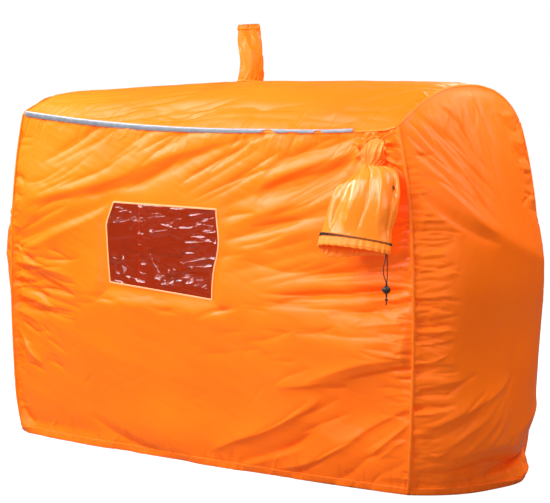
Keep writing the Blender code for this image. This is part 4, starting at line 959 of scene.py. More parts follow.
RIGHT_CREASES = each(creases, (
    (41, 20, (-200, 680), (-60, 900), -56, 7, 200, 3.6),
    (42, 14, (-100, 760), (160, 960), -82, 7, 200, 2.4),
    (43, 12, (-220, 120), (20, 280), 38, 10, 140, 2.8),
    (44, 14, (100, 640), (220, 920), 8, 22, 90, 4.4, 6),
    (45, 10, (-220, 20), (80, 90), 6, 8, 140, 3.8),
))
RIGHT_SEAM_CREASES = each(seam_creases, (
    (51, (-240, 40), (-238, 860), (1, 0), 8, 80, 3),
    (52, (-242, 200), (-243, 660), (1, -0.05), 7, 100, 3.6),
    (53, (240, 40), (240, 860), (-1, 0), 10, 70, 3),
    (54, (-200, 940), (200, 940), (0, -1), 18, 80, 2),
    (55, (-230, 12), (230, 12), (0, 1), 14, 60, 2.6),
))


def right_relief(y, z):
    relief = folds(y, z, RIGHT_FOLDS + RIGHT_CREASES) + presses(y, z, RIGHT_PRESSES)
    return relief + fine_wrinkles(z, y - 0.25 * z, 71)


END_COLUMNS = 210
END_ROWS = 330
across, upward = panel_grid(END_COLUMNS, END_ROWS, 0.35)
right_points = end_panel(1, across, upward, right_relief, RIGHT_SEAM_CREASES)
right_mesh = grid_mesh("right end cloth", right_points, END_CUT)
right_end_cloth = add_piece("right_end_cloth", right_mesh, orange_nylon,
                            node="right_end_panel")

# Left end panel. The same cut as the right one, pushed out further from inside
LEFT_FOLDS = (
    (-10, 30, 0.2, ((235, 790), (150, 730), (40, 670))),
    (6, 24, 0.2, ((235, 740), (130, 690), (60, 650))),
    (-10, 30, -0.2, ((-240, 780), (-150, 720), (-50, 660))),
    (5.5, 22, 0.2, ((-235, 730), (-140, 690), (-60, 650))),
    (-2.6, 10, 0.0, ((20, 940), (30, 860), (20, 760))),
    (-2.4, 10, 0.0, ((-60, 920), (-50, 850), (-30, 760))),
    (-2.4, 10, 0.0, ((110, 900), (100, 840), (70, 760))),
    (9, 24, 0.3, ((-255, 150), (-160, 180), (-40, 230))),
    (8, 24, -0.3, ((255, 160), (150, 180), (30, 240))),
    (7, 26, 0.2, ((255, 270), (150, 285), (40, 300))),
    (-10, 16, 0.1, ((-210, 55), (-80, 72), (80, 68), (210, 50))),
    (9, 28, 0.4, ((-200, 100), (-60, 115), (100, 105), (200, 90))),
    (5, 12, 0.2, ((-250, 620), (-160, 610), (-80, 600))),
    (-5, 12, 0.2, ((-250, 590), (-160, 580), (-90, 575))),
)
LEFT_PRESSES = ((0.01, -0.03, 0.56, 0.12, 0.11), (-0.008, 0.06, 0.33, 0.11, 0.09))
LEFT_CREASES = each(creases, (
    (61, 26, (-200, 640), (200, 900), 80, 22, 180, 2.8),
    (62, 20, (-220, 100), (220, 320), 0, 25, 140, 2.8),
))
LEFT_SEAM_CREASES = each(seam_creases, (
    (63, (-240, 40), (-240, 860), (1, 0), 9, 90, 3.2),
    (64, (240, 40), (240, 860), (-1, 0), 9, 90, 3.2),
    (65, (-200, 930), (200, 930), (0, -1), 18, 80, 2),
    (66, (-230, 12), (230, 12), (0, 1), 14, 60, 2.6),
))


def left_relief(y, z):
    relief = folds(y, z, LEFT_FOLDS + LEFT_CREASES) + presses(y, z, LEFT_PRESSES)
    return relief + fine_wrinkles(z, y + 0.2 * z, 81)


left_points = end_panel(-1, across, upward, left_relief, LEFT_SEAM_CREASES)
left_mesh = grid_mesh("left end cloth", left_points, END_CUT, turned=True)
left_end_cloth = add_piece("left_end_cloth", left_mesh, orange_nylon,
                           node="left_end_panel")

# Rear panel. Plain, with no window or vent, and folds like those of the front
REAR_FOLDS = (
    (-9, 32, 0.2, ((-720, 850), (-450, 740), (-200, 680), (50, 660))),
    (7, 30, 0.2, ((-720, 800), (-450, 700), (-150, 630))),
    (-9, 32, -0.2, ((720, 850), (420, 740), (150, 670), (-50, 650))),
    (7, 30, -0.2, ((720, 800), (420, 690), (180, 640))),
    (-3, 11, 0.1, ((-500, 860), (-380, 800), (-250, 760))),
    (-2.6, 11, 0.1, ((-300, 865), (-200, 810), (-100, 780))),
    (-2.8, 11, 0.1, ((100, 790), (220, 820), (330, 866))),
    (-2.8, 11, 0.1, ((300, 780), (420, 815), (520, 868))),
    (11, 45, 0.3, ((-280, 0), (-330, 140), (-420, 330))),
    (11, 45, -0.3, ((240, 0), (290, 150), (380, 330))),
    (-6, 24, 0.2, ((-770, 480), (-550, 450), (-350, 430))),
    (-6, 22, 0.2, ((-770, 380), (-580, 370), (-420, 350))),
    (-6, 22, 0.2, ((770, 500), (580, 470), (380, 450))),
    (-6, 22, 0.2, ((770, 400), (600, 380), (450, 370))),
    (7, 20, 0.3, ((-740, 230), (-600, 170), (-420, 100), (-250, 60))),
    (7, 20, -0.3, ((740, 220), (600, 170), (420, 110), (220, 70))),
    (-2.6, 11, 0.0, ((-150, 520), (0, 528), (160, 522))),
    (-2.4, 10, 0.0, ((-120, 470), (20, 464), (140, 470))),
)
REAR_PRESSES = ((0.014, -0.4, 0.28, 0.14, 0.14), (0.014, 0.4, 0.28, 0.14, 0.14),
                (-0.01, 0.0, 0.25, 0.15, 0.15))
REAR_CREASES = each(creases, (
    (71, 40, (-660, 600), (-50, 860), -22, 7, 200, 3),
    (72, 40, (50, 600), (660, 860), 22, 7, 200, 3),
    (73, 40, (-700, 300), (700, 540), 0, 8, 200, 2.8),
    (74, 30, (-660, 40), (660, 260), 10, 25, 160, 2.4),
))
REAR_SEAM_CREASES = each(seam_creases, (
    (75, (745, 30), (735, 860), (-1, 0), 8, 110, 3.4),
    (76, (-742, 30), (-720, 860), (1, 0), 8, 110, 3.4),
    (77, (-690, 899), (0, 872), (0, -1), 12, 90, 2.6),
    (78, (0, 872), (690, 899), (0, -1), 12, 90, 2.6),
    (79, (-740, 12), (745, 12), (0, 1), 16, 60, 2.4),
))


def rear_relief(x, z):
    relief = folds(x, z, REAR_FOLDS + REAR_CREASES) + presses(x, z, REAR_PRESSES)
    return relief + fine_wrinkles(x, z - 0.1 * np.abs(x), 91)


REAR_COLUMNS = 400
REAR_ROWS = 250
across, upward = panel_grid(REAR_COLUMNS, REAR_ROWS, 0.35)
rear_points = np.stack(long_panel(1, across, upward, rear_relief, REAR_SEAM_CREASES), -1) + middle
rear_mesh = grid_mesh("rear cloth", rear_points, FRONT_CUT, turned=True)
rear_cloth = add_piece("rear_cloth", rear_mesh, orange_nylon, node="rear_panel")

# Roof panel. It arches over the ridge, where it is held up from inside, and long
# shallow folds run along it from end to end
ROOF_VENT_X = -0.098
ROOF_VENT_Y = 0.06
ROOF_VENT_RADIUS = 0.034
ROOF_CUT = (1.58, 0.56)
ROOF_FOLDS = (
    (-4.2, 14, 0.2, ((-640, -190), (-444, -150), (-276, -106), (-120, -75))),
    (-4.2, 14, 0.2, ((-500, -232), (-343, -193), (-185, -143), (-80, -90))),
    (-2.4, 9, 0.1, ((-480, -212), (-390, -190), (-260, -150))),
    (-3.6, 12, 0.2, ((-340, -238), (-189, -198), (-23, -168), (120, -160))),
    (-3, 11, 0.2, ((-120, -222), (50, -206), (182, -204), (360, -212))),
    (-2.2, 9, 0.1, ((20, -190), (180, -182), (330, -186))),
    (6, 26, 0.3, ((420, -205), (490, -180), (566, -151), (680, -100))),
    (-6, 18, 0.1, ((430, -165), (540, -125), (690, -70))),
    (-3, 10, 0.1, ((340, -218), (430, -222), (520, -226), (610, -236))),
    (-5, 30, 0.1, ((0, -60), (250, -50), (520, -80))),
    (-4.5, 30, 0.1, ((-600, 60), (-380, 80), (-200, 70))),
    (-5, 30, 0.1, ((-550, 170), (-300, 130), (0, 150))),
    (-5, 30, 0.1, ((60, 140), (300, 120), (600, 170))),
    (-2.6, 12, 0.0, ((150, 200), (320, 190), (500, 210))),
    (-2.6, 12, 0.0, ((-480, 210), (-320, 200), (-150, 212))),
)
ROOF_CREASES = each(creases, (
    (81, 22, (-600, -230), (100, -100), 13, 3, 320, 3.6, 11),
    (82, 14, (-200, -228), (600, -170), 2, 3, 280, 3, 10),
    (83, 14, (-600, -80), (600, 60), 2, 6, 280, 2.6, 10),
    (84, 20, (-620, 80), (620, 225), -4, 7, 260, 3.2, 11),
    (85, 16, (500, -160), (720, 50), 35, 12, 120, 2.8),
))
ROOF_SEAM_CREASES = each(seam_creases, (
    (86, (-690, -236), (690, -236), (0.5, 1), 24, 90, 2),
    (87, (-690, 236), (690, 236), (0, -1), 14, 80, 2.6),
    (88, (710, -200), (710, 200), (-1, 0), 14, 90, 2.6),
    (89, (-720, -200), (-720, 200), (1, 0), 14, 90, 2.6),
))


def roof_panel(u, v):
    left = -corner_x(-1, 1.0) - end_bulge(-1, v, 1.0)
    right = corner_x(1, 1.0) + end_bulge(1, v, 1.0)
    x = (left + right) / 2 + u * (right - left) / 2
    y = v * (side_y(np.sign(v), u, 1.0) + side_bulge(u, 1.0))
    from_end = (1.0 - np.abs(u)) * LENGTH / 2
    from_side = (1.0 - np.abs(v)) * WIDTH / 2
    away = np.hypot(x - ROOF_VENT_X, y - ROOF_VENT_Y)
    gathered = 0.0022 * np.cos(9.0 * np.arctan2(y - ROOF_VENT_Y, x - ROOF_VENT_X))
    gathered = gathered * np.exp(-((away - ROOF_VENT_RADIUS) / 0.03) ** 2)
    relief = folds(x, y, ROOF_FOLDS + ROOF_CREASES) + fine_wrinkles(x, y + 0.15 * x, 101) + gathered
    relief = relief * smooth(0.0, 0.03, from_end) * smooth(0.0, 0.02, from_side)
    relief = relief * smooth(ROOF_VENT_RADIUS - 0.004, ROOF_VENT_RADIUS + 0.01, away)
    pulled = folds(x, y, ROOF_SEAM_CREASES) * smooth(0.0, 0.005, from_side)
    relief = relief + pulled * smooth(0.0, 0.005, from_end)
    drawn = rounding(v, from_end)
    front_drawn = edge_rounding(np.sign(v), u, from_side)
    height = arch_z(u, v) + relief - drawn - front_drawn
    return np.stack([x - np.sign(u) * drawn, y + front_drawn, height], -1) + middle


ROOF_COLUMNS = 460
ROOF_ROWS = 180
across, depth = np.meshgrid(2.0 * eased(ROOF_COLUMNS, 0.3) - 1.0, 2.0 * eased(ROOF_ROWS, 0.3) - 1.0)
roof_mesh = grid_mesh("roof cloth", roof_panel(across, depth), ROOF_CUT)


def cut_round(mesh, x, y, radius):
    """Takes out the faces within a radius of an upright axis."""
    draft = bmesh.new()
    draft.from_mesh(mesh)
    axis = Vector((x, y))
    gone = [face for face in draft.faces
            if (face.calc_center_median().xy - axis).length < radius]
    bmesh.ops.delete(draft, geom=gone, context="FACES")
    draft.to_mesh(mesh)
    draft.free()


cut_round(roof_mesh, ROOF_VENT_X + middle[0], ROOF_VENT_Y + middle[1], ROOF_VENT_RADIUS - 0.002)
roof_cloth = add_piece("roof_cloth", roof_mesh, orange_nylon, node="roof_panel")

# Seam bindings. Every seam is bound with a folded strip of the same nylon, stitched
# through, which stands up as a slightly puckered line. Its orange is painted lighter than
# the cloth's, as a painted highlight
SEAM_WIDTH = 0.0068
SEAM_THICKNESS = 0.0046
FLAT_SEAM_THICKNESS = 0.0022
SEAM_STATIONS = 260
STITCH_LENGTH = 0.003
STITCH_PITCH = 0.0042
STITCH_RADIUS = 0.0003
STITCH_SIDES = 6
# A lighter orange than the same nylon of the panels: painted highlight
seam_material_with_painted_highlight = cloth_material("seam binding", (1.0, 0.23, 0.012), (0.92, 0.14, 0.005), 0.42,
                               0.25)


def thread_material(name, colour):
    """Twisted thread, with painted shade between its strands."""
    material, tree, shader = new_material(name)
    place = add_node(tree, "TexCoord")["Object"]
    strands_and_painted_shade = add_node(tree, "TexNoise", {"Scale": 900.0, "Vector": place})["Fac"]
    # Painted shade: the thread is darker between its strands
    shade = add_node(tree, "Mix", {"A": (*[c * 0.6 for c in colour], 1.0), "B": (*colour, 1.0),
                                   "Factor": strands_and_painted_shade}, data_type="RGBA")
    bump = add_node(tree, "Bump", {"Strength": 0.4, "Distance": 0.0002, "Height": strands_and_painted_shade})
    fill(tree, shader, {"Roughness": 0.55, "Sheen Weight": 0.05, "Base Color": shade["Result"],
                        "Normal": bump["Normal"]})
    return material


orange_thread = thread_material("orange thread", (0.9, 0.16, 0.02))
dark_thread = thread_material("dark thread", (0.012, 0.006, 0.005))


def along_line(points, distances):
    """Points at distances along a line of points."""
    steps = np.linalg.norm(np.diff(points, axis=0), axis=1)
    passed = np.concatenate([[0.0], np.cumsum(steps)])
    return np.stack([np.interp(distances, passed, points[:, k]) for k in range(3)], -1)


def line_length(points):
    return np.linalg.norm(np.diff(points, axis=0), axis=1).sum()


def stitch_row(name, line, outward, material, body="shelter", pitch=STITCH_PITCH,
               length=STITCH_LENGTH, radius=STITCH_RADIUS):
    """A row of short stitches laid along a line, each a rounded bit of thread."""
    count = int(line_length(line) / pitch)
    starts = np.arange(count) * pitch + pitch / 4
    head = along_line(line, starts)
    tail = along_line(line, starts + length)
    rises = unit(along_line(outward, np.interp((starts + length / 2), [0.0, line_length(line)],
                                               [0.0, line_length(outward)])))
    turn = full_turn(STITCH_SIDES)
    shares = ((0.0, 0.25, -0.8), (0.18, 1.0, 0.0), (0.82, 1.0, 0.0), (1.0, 0.25, -0.8))
    ways = unit(tail - head)
    sideways = unit(np.cross(ways, rises))
    rings = []
    for share, wide, sunk in shares:
        middle_line = head + (tail - head) * share + rises * radius * sunk
        ring = (middle_line[:, None, :]
                + sideways[:, None, :] * (np.cos(turn) * wide * radius)[None, :, None]
                + rises[:, None, :] * (np.sin(turn) * wide * radius)[None, :, None])
        rings.append(ring)
    points = np.stack(rings, 1)
    here = np.arange(points[..., 0].size).reshape(points.shape[:3])
    beside = np.roll(here, -1, 2)
    faces = np.stack([here[:, :-1], beside[:, :-1], beside[:, 1:], here[:, 1:]], -1)
    mesh = bpy.data.meshes.new(name)
    mesh.from_pydata(points.reshape(-1, 3).tolist(), [], faces.reshape(-1, 4).tolist())
    mesh.shade_smooth()
    return add_piece(name, mesh, material, body)


def bound_seam(name, line, outward, node, seed, thickness=SEAM_THICKNESS):
    """One bound seam with its row of stitches."""
    along = tangents(line)
    across = unit(np.cross(along, outward))
    outward = unit(np.cross(across, along))
    passed = np.linspace(0.0, line_length(line), len(line))
    swell = 1.0 + 0.16 * hills(passed / 0.011, 0.0 * passed + 2.2, seed)
    shake = 0.0007 * hills(passed / 0.02, 0.0 * passed + 5.2, seed)
    profile = rounded_profile(SEAM_WIDTH, thickness)[None] * swell[:, None, None]
    mesh = swept(name, line + across * shake[:, None], across, outward, profile, False,
                 (SEAM_WIDTH * 2.4, line_length(line)))
    item = add_piece(name, mesh, seam_material_with_painted_highlight, node=node)
    top = line + across * shake[:, None] + outward * (thickness / 2 * swell)[:, None]
    stitch_row(name + "_stitches", top, outward, orange_thread)
    return item


def corner_line(side, facing):
    low = 0.0035 / WALL_HEIGHT
    level = np.linspace(low, 1.0 - 0.003 / WALL_HEIGHT, SEAM_STATIONS)
    u = np.full(level.shape, float(side))
    x = signed_x(u, level)
    y = facing * side_y(facing, u, level)
    return np.stack([x, y, level * WALL_HEIGHT], -1) + middle


for side_name, side in (("left", -1), ("right", 1)):
    for facing_name, facing in (("front", -1), ("rear", 1)):
        seam_line = corner_line(side, facing)
        out = np.broadcast_to(unit(np.array([float(side), float(facing), 0.0])), seam_line.shape)
        bound_seam(f"{facing_name}_{side_name}_bound_seam", seam_line, out,
                   f"{facing_name}_{side_name}_seam", 200 + 10 * side + facing)

ends = np.linspace(-1.0, 1.0, SEAM_STATIONS)
SEAM_SHORT = 0.994
for facing_name, facing in (("front", -1), ("rear", 1)):
    x, y, z = long_panel(facing, ends * SEAM_SHORT, np.ones(SEAM_STATIONS))
    seam_line = np.stack([x, y, z], -1) + middle
    out = np.broadcast_to(unit(np.array([0.0, float(facing), 0.8])), seam_line.shape)
    bound_seam(f"{facing_name}_roof_bound_seam", seam_line, out, f"{facing_name}_roof_seam",
               230 + facing, FLAT_SEAM_THICKNESS)
for side_name, side in (("left", -1), ("right", 1)):
    seam_line = end_panel(side, ends * 0.985, np.ones(SEAM_STATIONS))
    out = np.broadcast_to(unit(np.array([float(side), 0.0, 0.8])), seam_line.shape)
    bound_seam(f"{side_name}_roof_bound_seam", seam_line, out, f"{side_name}_roof_seam",
               240 + side, FLAT_SEAM_THICKNESS)

# Reflective tapes. A narrow grey retroreflective tape is sewn along the outside of the
# front and rear roof seams, and folds of the roof hide it in two places
TAPE_WIDTH = 0.017
TAPE_ABOVE_SEAM = 0.0075
TAPE_LEFT = -0.985
TAPE_RIGHT = 0.79
REAR_TAPE_END = 0.96
TAPE_STATIONS = 420
TAPE_THICKNESS = 0.0006
# Its outer face as heights over the seam and distances out from it, over the seam binding
TAPE_SECTION = np.array(((-0.0095, 0.0022), (-0.006, 0.0034), (-0.002, 0.0044),
                         (0.002, 0.0044), (0.005, 0.0038), (0.0075, 0.0026)))


def tape_material():
    """Woven backing with tiny glass beads: grey, brighter where the light glances off."""
    material, tree, shader = new_material("reflective tape")
    place = add_node(tree, "TexCoord")["Object"]
    beads = add_node(tree, "TexVoronoi", {"Scale": 2600.0, "Vector": place})
    worn = add_node(tree, "TexNoise", {"Scale": 60.0, "Detail": 4.0, "Vector": place})["Fac"]
    shade = add_node(tree, "Mix", {"A": (0.17, 0.2, 0.26, 1.0), "B": (0.3, 0.33, 0.38, 1.0),
                                   "Factor": worn}, data_type="RGBA")
    rough = add_node(tree, "MapRange", {"To Min": 0.3, "To Max": 0.55, "Value": worn})
    bump = add_node(tree, "Bump", {"Strength": 0.3, "Distance": 0.0001,
                                   "Height": beads["Distance"]})
    fill(tree, shader, {"Metallic": 0.35, "Specular IOR Level": 0.7,
                        "Base Color": shade["Result"], "Roughness": rough["Result"],
                        "Normal": bump["Normal"]})
    return material


reflective_tape = tape_material()


def tape(name, facing, left, right, node, gaps, seed):
    """Tape along a roof seam. gaps are (x, half length, share hidden)."""
    u = np.linspace(left, right, TAPE_STATIONS)
    x, y, z = long_panel(facing, u, np.ones(TAPE_STATIONS))
    line = np.stack([x, y, z], -1) + middle
    share = 0.97 - 0.42 * smooth(-0.35, 0.55, x) + 0.05 * hills(x / 0.03, 0.0 * x + 1.1, seed)
    for gap_x, half, hidden in gaps:
        share = share * (1.0 - hidden * np.exp(-((x - gap_x) / half) ** 4))
    rises = TAPE_SECTION[::-1, 0]
    top = TAPE_ABOVE_SEAM
    rises = top + (rises[None, :] - top) * share[:, None]
    ripple = 0.0005 * hills(x[:, None] / 0.016, rises / 0.02 + 3.3, seed + 1)
    outs = np.interp(rises, *TAPE_SECTION.T) + ripple
    outer = np.stack([rises, outs], -1)
    inner = np.stack([rises[:, ::-1], outs[:, ::-1] - TAPE_THICKNESS], -1)
    up = np.broadcast_to(np.array([0.0, 0.0, 1.0]), line.shape)
    out = np.broadcast_to(np.array([0.0, float(facing), 0.0]), line.shape)
    mesh = swept(name, line, up, out, np.concatenate([outer, inner], 1), False,
                 (TAPE_WIDTH * 2.0, line_length(line)))
    item = add_piece(name, mesh, reflective_tape, node=node)
    for edge_name, index in (("upper", 0.14), ("lower", 0.88)):
        rise = top - (top - rises[:, -1]) * index
        stand = np.interp(rise, *TAPE_SECTION.T)
        row = line + up * rise[:, None] + out * stand[:, None]
        stitch_row(f"{name}_{edge_name}_stitches", row, out + 0.0 * row, orange_thread)
    return item


FRONT_TAPE_GAPS = ((0.262, 0.02, 0.86), (0.43, 0.012, 0.72), (0.345, 0.02, 0.25))
front_tape = tape("front_tape", -1, TAPE_LEFT, TAPE_RIGHT, "front_reflective_tape",
                  FRONT_TAPE_GAPS, 250)
rear_tape = tape("rear_tape", 1, -REAR_TAPE_END, REAR_TAPE_END, "rear_reflective_tape", (), 255)

# Hem bands. The lower edge is folded twice round a tape and stitched, so it is stiffer and
# paler than the cloth. Near the left corner the front hem curls out
HEM_WIDTH = 0.02
HEM_THICKNESS = 0.004
HEM_CENTRE = 0.0112
HEM_STATIONS = 420
hem_material = cloth_material("hem", (0.98, 0.19, 0.006), (0.9, 0.12, 0.003), 0.42, 0.3)


def hem_band(name, lower, upper, turn, node):
    """A folded band along a panel's lower edge. lower and upper are two rows of points on
    the panel, just below and above the band's middle line."""
    line = (lower + upper) / 2
    line[:, 2] = HEM_CENTRE
    along = tangents(line)
    up = unit(upper - lower)
    outward = unit(np.cross(along, up)) * turn
    passed = np.linspace(0.0, line_length(line), len(line))
    swell = 1.0 + 0.12 * hills(passed / 0.014, 0.0 * passed + 1.9, 260)
    profile = rounded_profile(HEM_WIDTH, HEM_THICKNESS, 14)[None] * np.stack(
        [np.ones(len(line)), swell], -1)[:, None, :]
    mesh = swept(name, line, up, outward, profile, False, (HEM_WIDTH * 2.2, line_length(line)))
    item = add_piece(name, mesh, hem_material, node=node)
    row = line + up * 0.006 + outward * (HEM_THICKNESS / 2 * 0.93 * swell)[:, None]
    stitch_row(name + "_stitches", row, outward, orange_thread)
    return item


across_hem = np.linspace(-0.999, 0.999, HEM_STATIONS)
around_hem = np.linspace(-0.985, 0.985, HEM_STATIONS)
hem_levels = (0.007 / WALL_HEIGHT, 0.017 / WALL_HEIGHT)
front_low, front_high = (front_panel(across_hem, np.full(HEM_STATIONS, h)) for h in hem_levels)
rear_low, rear_high = (np.stack(long_panel(1, across_hem, np.full(HEM_STATIONS, h), rear_relief,
                                           REAR_SEAM_CREASES), -1) + middle for h in hem_levels)
front_hem = hem_band("front_hem", front_low, front_high, 1.0, "front_hem_band")
rear_hem = hem_band("rear_hem", rear_low, rear_high, -1.0, "rear_hem_band")
for side_name, side in (("right", 1), ("left", -1)):
    relief = right_relief if side > 0 else left_relief
    pulls = RIGHT_SEAM_CREASES if side > 0 else LEFT_SEAM_CREASES
    end_low, end_high = (end_panel(side, around_hem, np.full(HEM_STATIONS, h), relief, pulls)
                         for h in hem_levels)
    end_hem = hem_band(f"{side_name}_hem", end_low, end_high, float(side), f"{side_name}_hem_band")

# Seat panels. Two pieces of heavier fabric to sit on lie flat on the ground inside the
# ends, each sewn to the hem round it
SEAT_DEPTH = 0.34
SEAT_CUT = (0.46, 0.56)
SEAT_COLUMNS = 90
SEAT_ROWS = 70
SEAT_LEVEL = 0.0185 / WALL_HEIGHT
HEM_CLEARANCE = 0.004
seat_fabric = cloth_material("seat fabric", (0.03, 0.032, 0.038), (0.02, 0.021, 0.026), 0.62,
                             0.5, (0.0, 0.0, 0.0))


def seat_points(side):
    a, v = np.meshgrid(np.linspace(0.0, 1.0, SEAT_COLUMNS), np.linspace(-1.0, 1.0, SEAT_ROWS))
    inner = LENGTH / 2 - SEAT_DEPTH
    corner = corner_x(side, SEAT_LEVEL) - HEM_CLEARANCE
    straight = inner + a * (corner - inner)
    x = straight + a * end_bulge(side, v, SEAT_LEVEL)
    u = side * straight / (corner + HEM_CLEARANCE)
    reach = np.where(v < 0.0, side_y(-1, u, SEAT_LEVEL), side_y(1, u, SEAT_LEVEL))
    reach = reach + side_bulge(u, SEAT_LEVEL) - HEM_CLEARANCE
    y = v * reach
    inside = smooth(0.0, 0.1, 1.0 - np.abs(v)) * smooth(0.0, 0.08, 1.0 - a)
    rumple = 0.004 * (0.5 + hills(x / 0.09, y / 0.07, 270 + side)) + 0.0012 * (
        1.0 + hills(x / 0.02, y / 0.03, 275 + side))
    z = 0.0014 + inside * np.clip(rumple, 0.0, 0.008)
    return np.stack([side * x, y, z], -1) + middle


for side_name, side in (("right", 1), ("left", -1)):
    seat_mesh = grid_mesh(f"{side_name} seat", seat_points(side), SEAT_CUT, turned=side < 0)
    seat = add_piece(f"{side_name}_seat", seat_mesh, seat_fabric,
                     node=f"{side_name}_seat_panel")

# Side vent. A tube of thin nylon sewn to a bound ring in the front panel. It is gathered
# at its neck, hangs flat and wide, and ends in a cuff that holds a drawcord
COLLAR_STAND_OFF = 0.0036
COLLAR_CUT = (0.016, 0.22)
ROOT_STAND_OFF = 0.0066
SLEEVE_COLUMNS = 288
SLEEVE_ROWS = 110
SLEEVE_END = 6.0 / 7.0
CUFF_HEIGHT = 0.026
CUFF_GATHERS = 27
CORD_RADIUS = 0.00125
CORD_SPACING = 0.0034
root_y = float(front_y(SIDE_VENT_X, SIDE_VENT_Z)) - middle[1] - ROOT_STAND_OFF
# Middle of each section as x, y and z from the root, half width, half depth and turn
SIDE_STATIONS = np.array((
    (0.0, 0.0, 0.0, 0.04, 0.035, 0.0),
    (0.001, -0.006, -0.02, 0.034, 0.014, 2.0),
    (0.001, -0.024, -0.044, 0.029, 0.011, 6.0),
    (0.021, -0.044, -0.074, 0.08, 0.024, 10.0),
    (0.022, -0.055, -0.118, 0.088, 0.031, 14.0),
    (0.011, -0.065, -0.165, 0.088, 0.03, 18.0),
    (0.008, -0.075, -0.206, 0.091, 0.027, 20.0),
    (0.009, -0.085, -0.234, 0.092, 0.027, 20.0)))
SIDE_STATIONS[:, :3] += (SIDE_VENT_X, root_y, SIDE_VENT_Z)
SIDE_STATIONS[:, :3] += middle


def at_share(stations, s):
    """The smooth curve through the stations at shares s from 0 to 1 and a little beyond."""
    return through(stations, np.asarray(s, float) * (len(stations) - 1.0))


def tube_surface(stations, s, phi, grow, first):
    """Points of a sleeve at shares s of its length and angles phi round it, moved out by
    grow square to its oval section. first is the way that its root faces."""
    here = at_share(stations, s)
    step = 0.02
    way = unit(at_share(stations, s + step)[..., :3] - at_share(stations, s - step)[..., :3])
    mix = smooth(0.0, 0.16, s)[..., None]
    way = unit(np.asarray(first) * (1.0 - mix) + way * mix)
    turn = np.radians(here[..., 5])
    across = np.stack([np.cos(turn), np.sin(turn), np.zeros(turn.shape)], -1)
    across = unit(across - way * (across * way).sum(-1, keepdims=True))
    outward = np.cross(way, across)
    wide, deep = here[..., 3:4], here[..., 4:5]
    cos, sin = np.cos(phi)[..., None], np.sin(phi)[..., None]
    normal = unit(across * cos / wide + outward * sin / deep)
    grow = np.asarray(grow, float)
    if grow.ndim == 0:
        grow = np.full(s.shape, float(grow))
    return here[..., :3] + across * wide * cos + outward * deep * sin + normal * grow[..., None]


# Folds of the sleeve. The strokes' two numbers are the angle round it times 0.05 and its
# share of the length times 0.25, both in thousandths
SLEEVE_FOLDS = (
    (12, 15, 0.6, ((78, 56), (84, 100), (90, 160), (94, 225))),
    (-6, 4, 0.0, ((70, 50), (68, 100), (70, 160), (74, 215))),
    (8, 11, 0.4, ((60, 52), (50, 100), (44, 160), (38, 225))),
    (-7, 4.5, 0.0, ((44, 55), (30, 100), (24, 160), (20, 200))),
    (-8, 5, 0.0, ((102, 52), (108, 100), (114, 160), (118, 220))),
    (9, 12, 0.2, ((118, 60), (128, 110), (134, 160), (138, 220))),
    (7, 8, 0.0, ((200, 45), (204, 120), (206, 225))),
    (-8, 6, 0.0, ((232, 45), (234, 120), (236, 225))),
    (7, 8, 0.0, ((262, 45), (264, 120), (266, 225))),
)
NECK_PLEATS = 15
SLEEVE_CUT = (0.42, 0.26)


def sleeve_relief(s, phi):
    """Small pleats at the root and the neck, which run out into a few long folds."""
    around = phi * 0.05
    down = s * 0.25
    drift = 0.5 * hills(phi * 1.3, s * 5.0, 301)
    pleat = 1.0 - 2.0 * np.abs(np.sin(NECK_PLEATS / 2 * (phi + 0.5 * drift)))
    neck = np.exp(-((s - 0.15) / 0.13) ** 2) * smooth(0.01, 0.05, s)
    long_folds = folds(around, down, SLEEVE_FOLDS)
    crumple = 0.0011 * hills(around / 0.014, down / 0.034, 303) + 0.0003 * hills(
        around / 0.004, down / 0.01, 305)
    fade = smooth(0.14, 0.3, s) * smooth(0.86, 0.74, s)
    tucked = -0.0165 * np.exp(-((around - 0.018) / 0.017) ** 2 - ((down - 0.1175) / 0.015) ** 2)
    crumple = crumple * smooth(0.02, 0.15, s)
    return 0.004 * pleat * neck + tucked + 0.6 * long_folds * fade + crumple


def sleeve_points():
    phi, s = np.meshgrid(full_turn(SLEEVE_COLUMNS),
                         np.linspace(0.0, 1.0, SLEEVE_ROWS) * (SLEEVE_END + 0.004))
    points = tube_surface(SIDE_STATIONS, s, phi, sleeve_relief(s, phi), OUT_OF_FRONT)
    root = front_y(points[..., 0] - middle[0], points[..., 2]) - ROOT_STAND_OFF + 0.003
    reach = (root - (root_y + middle[1])) * (1.0 - smooth(0.0, 0.3, s / SLEEVE_END))
    points[..., 1] += reach
    return points


# The sleeve's nylon is painted a lighter orange than the same nylon elsewhere, as painted light for
# its gloss
SLEEVE_ORANGE_PAINTED_LIGHTER = (0.98, 0.26, 0.02)
sleeve_material = cloth_material("sleeve nylon", SLEEVE_ORANGE_PAINTED_LIGHTER, ORANGE, 0.22, 0.3,
                                 gloss=0.42)


def matt_root(material, low, high, matt):
    """Makes a glossy cloth matt where it is gathered, between two heights and above them."""
    tree = material.node_tree
    shader = tree.nodes["Principled BSDF"]
    worn = shader.inputs["Roughness"].links[0].from_socket
    place = add_node(tree, "TexCoord")["Object"]
    apart = add_node(tree, "SeparateXYZ", {"Vector": place})
    reach = add_node(tree, "MapRange", {"From Min": low, "From Max": high, "To Min": 0.0,
                                        "To Max": matt, "Value": apart["Z"]})
    fill(tree, shader, {"Roughness": maths(tree, "ADD", worn, reach["Result"])})


matt_root(sleeve_material, SIDE_VENT_Z - 0.065, SIDE_VENT_Z - 0.035, 0.3)
sleeve_mesh = grid_mesh("side sleeve", sleeve_points(), SLEEVE_CUT, wrapped=True)
side_sleeve = add_piece("side_sleeve", sleeve_mesh, sleeve_material, None,
                        node="side_vent_sleeve")


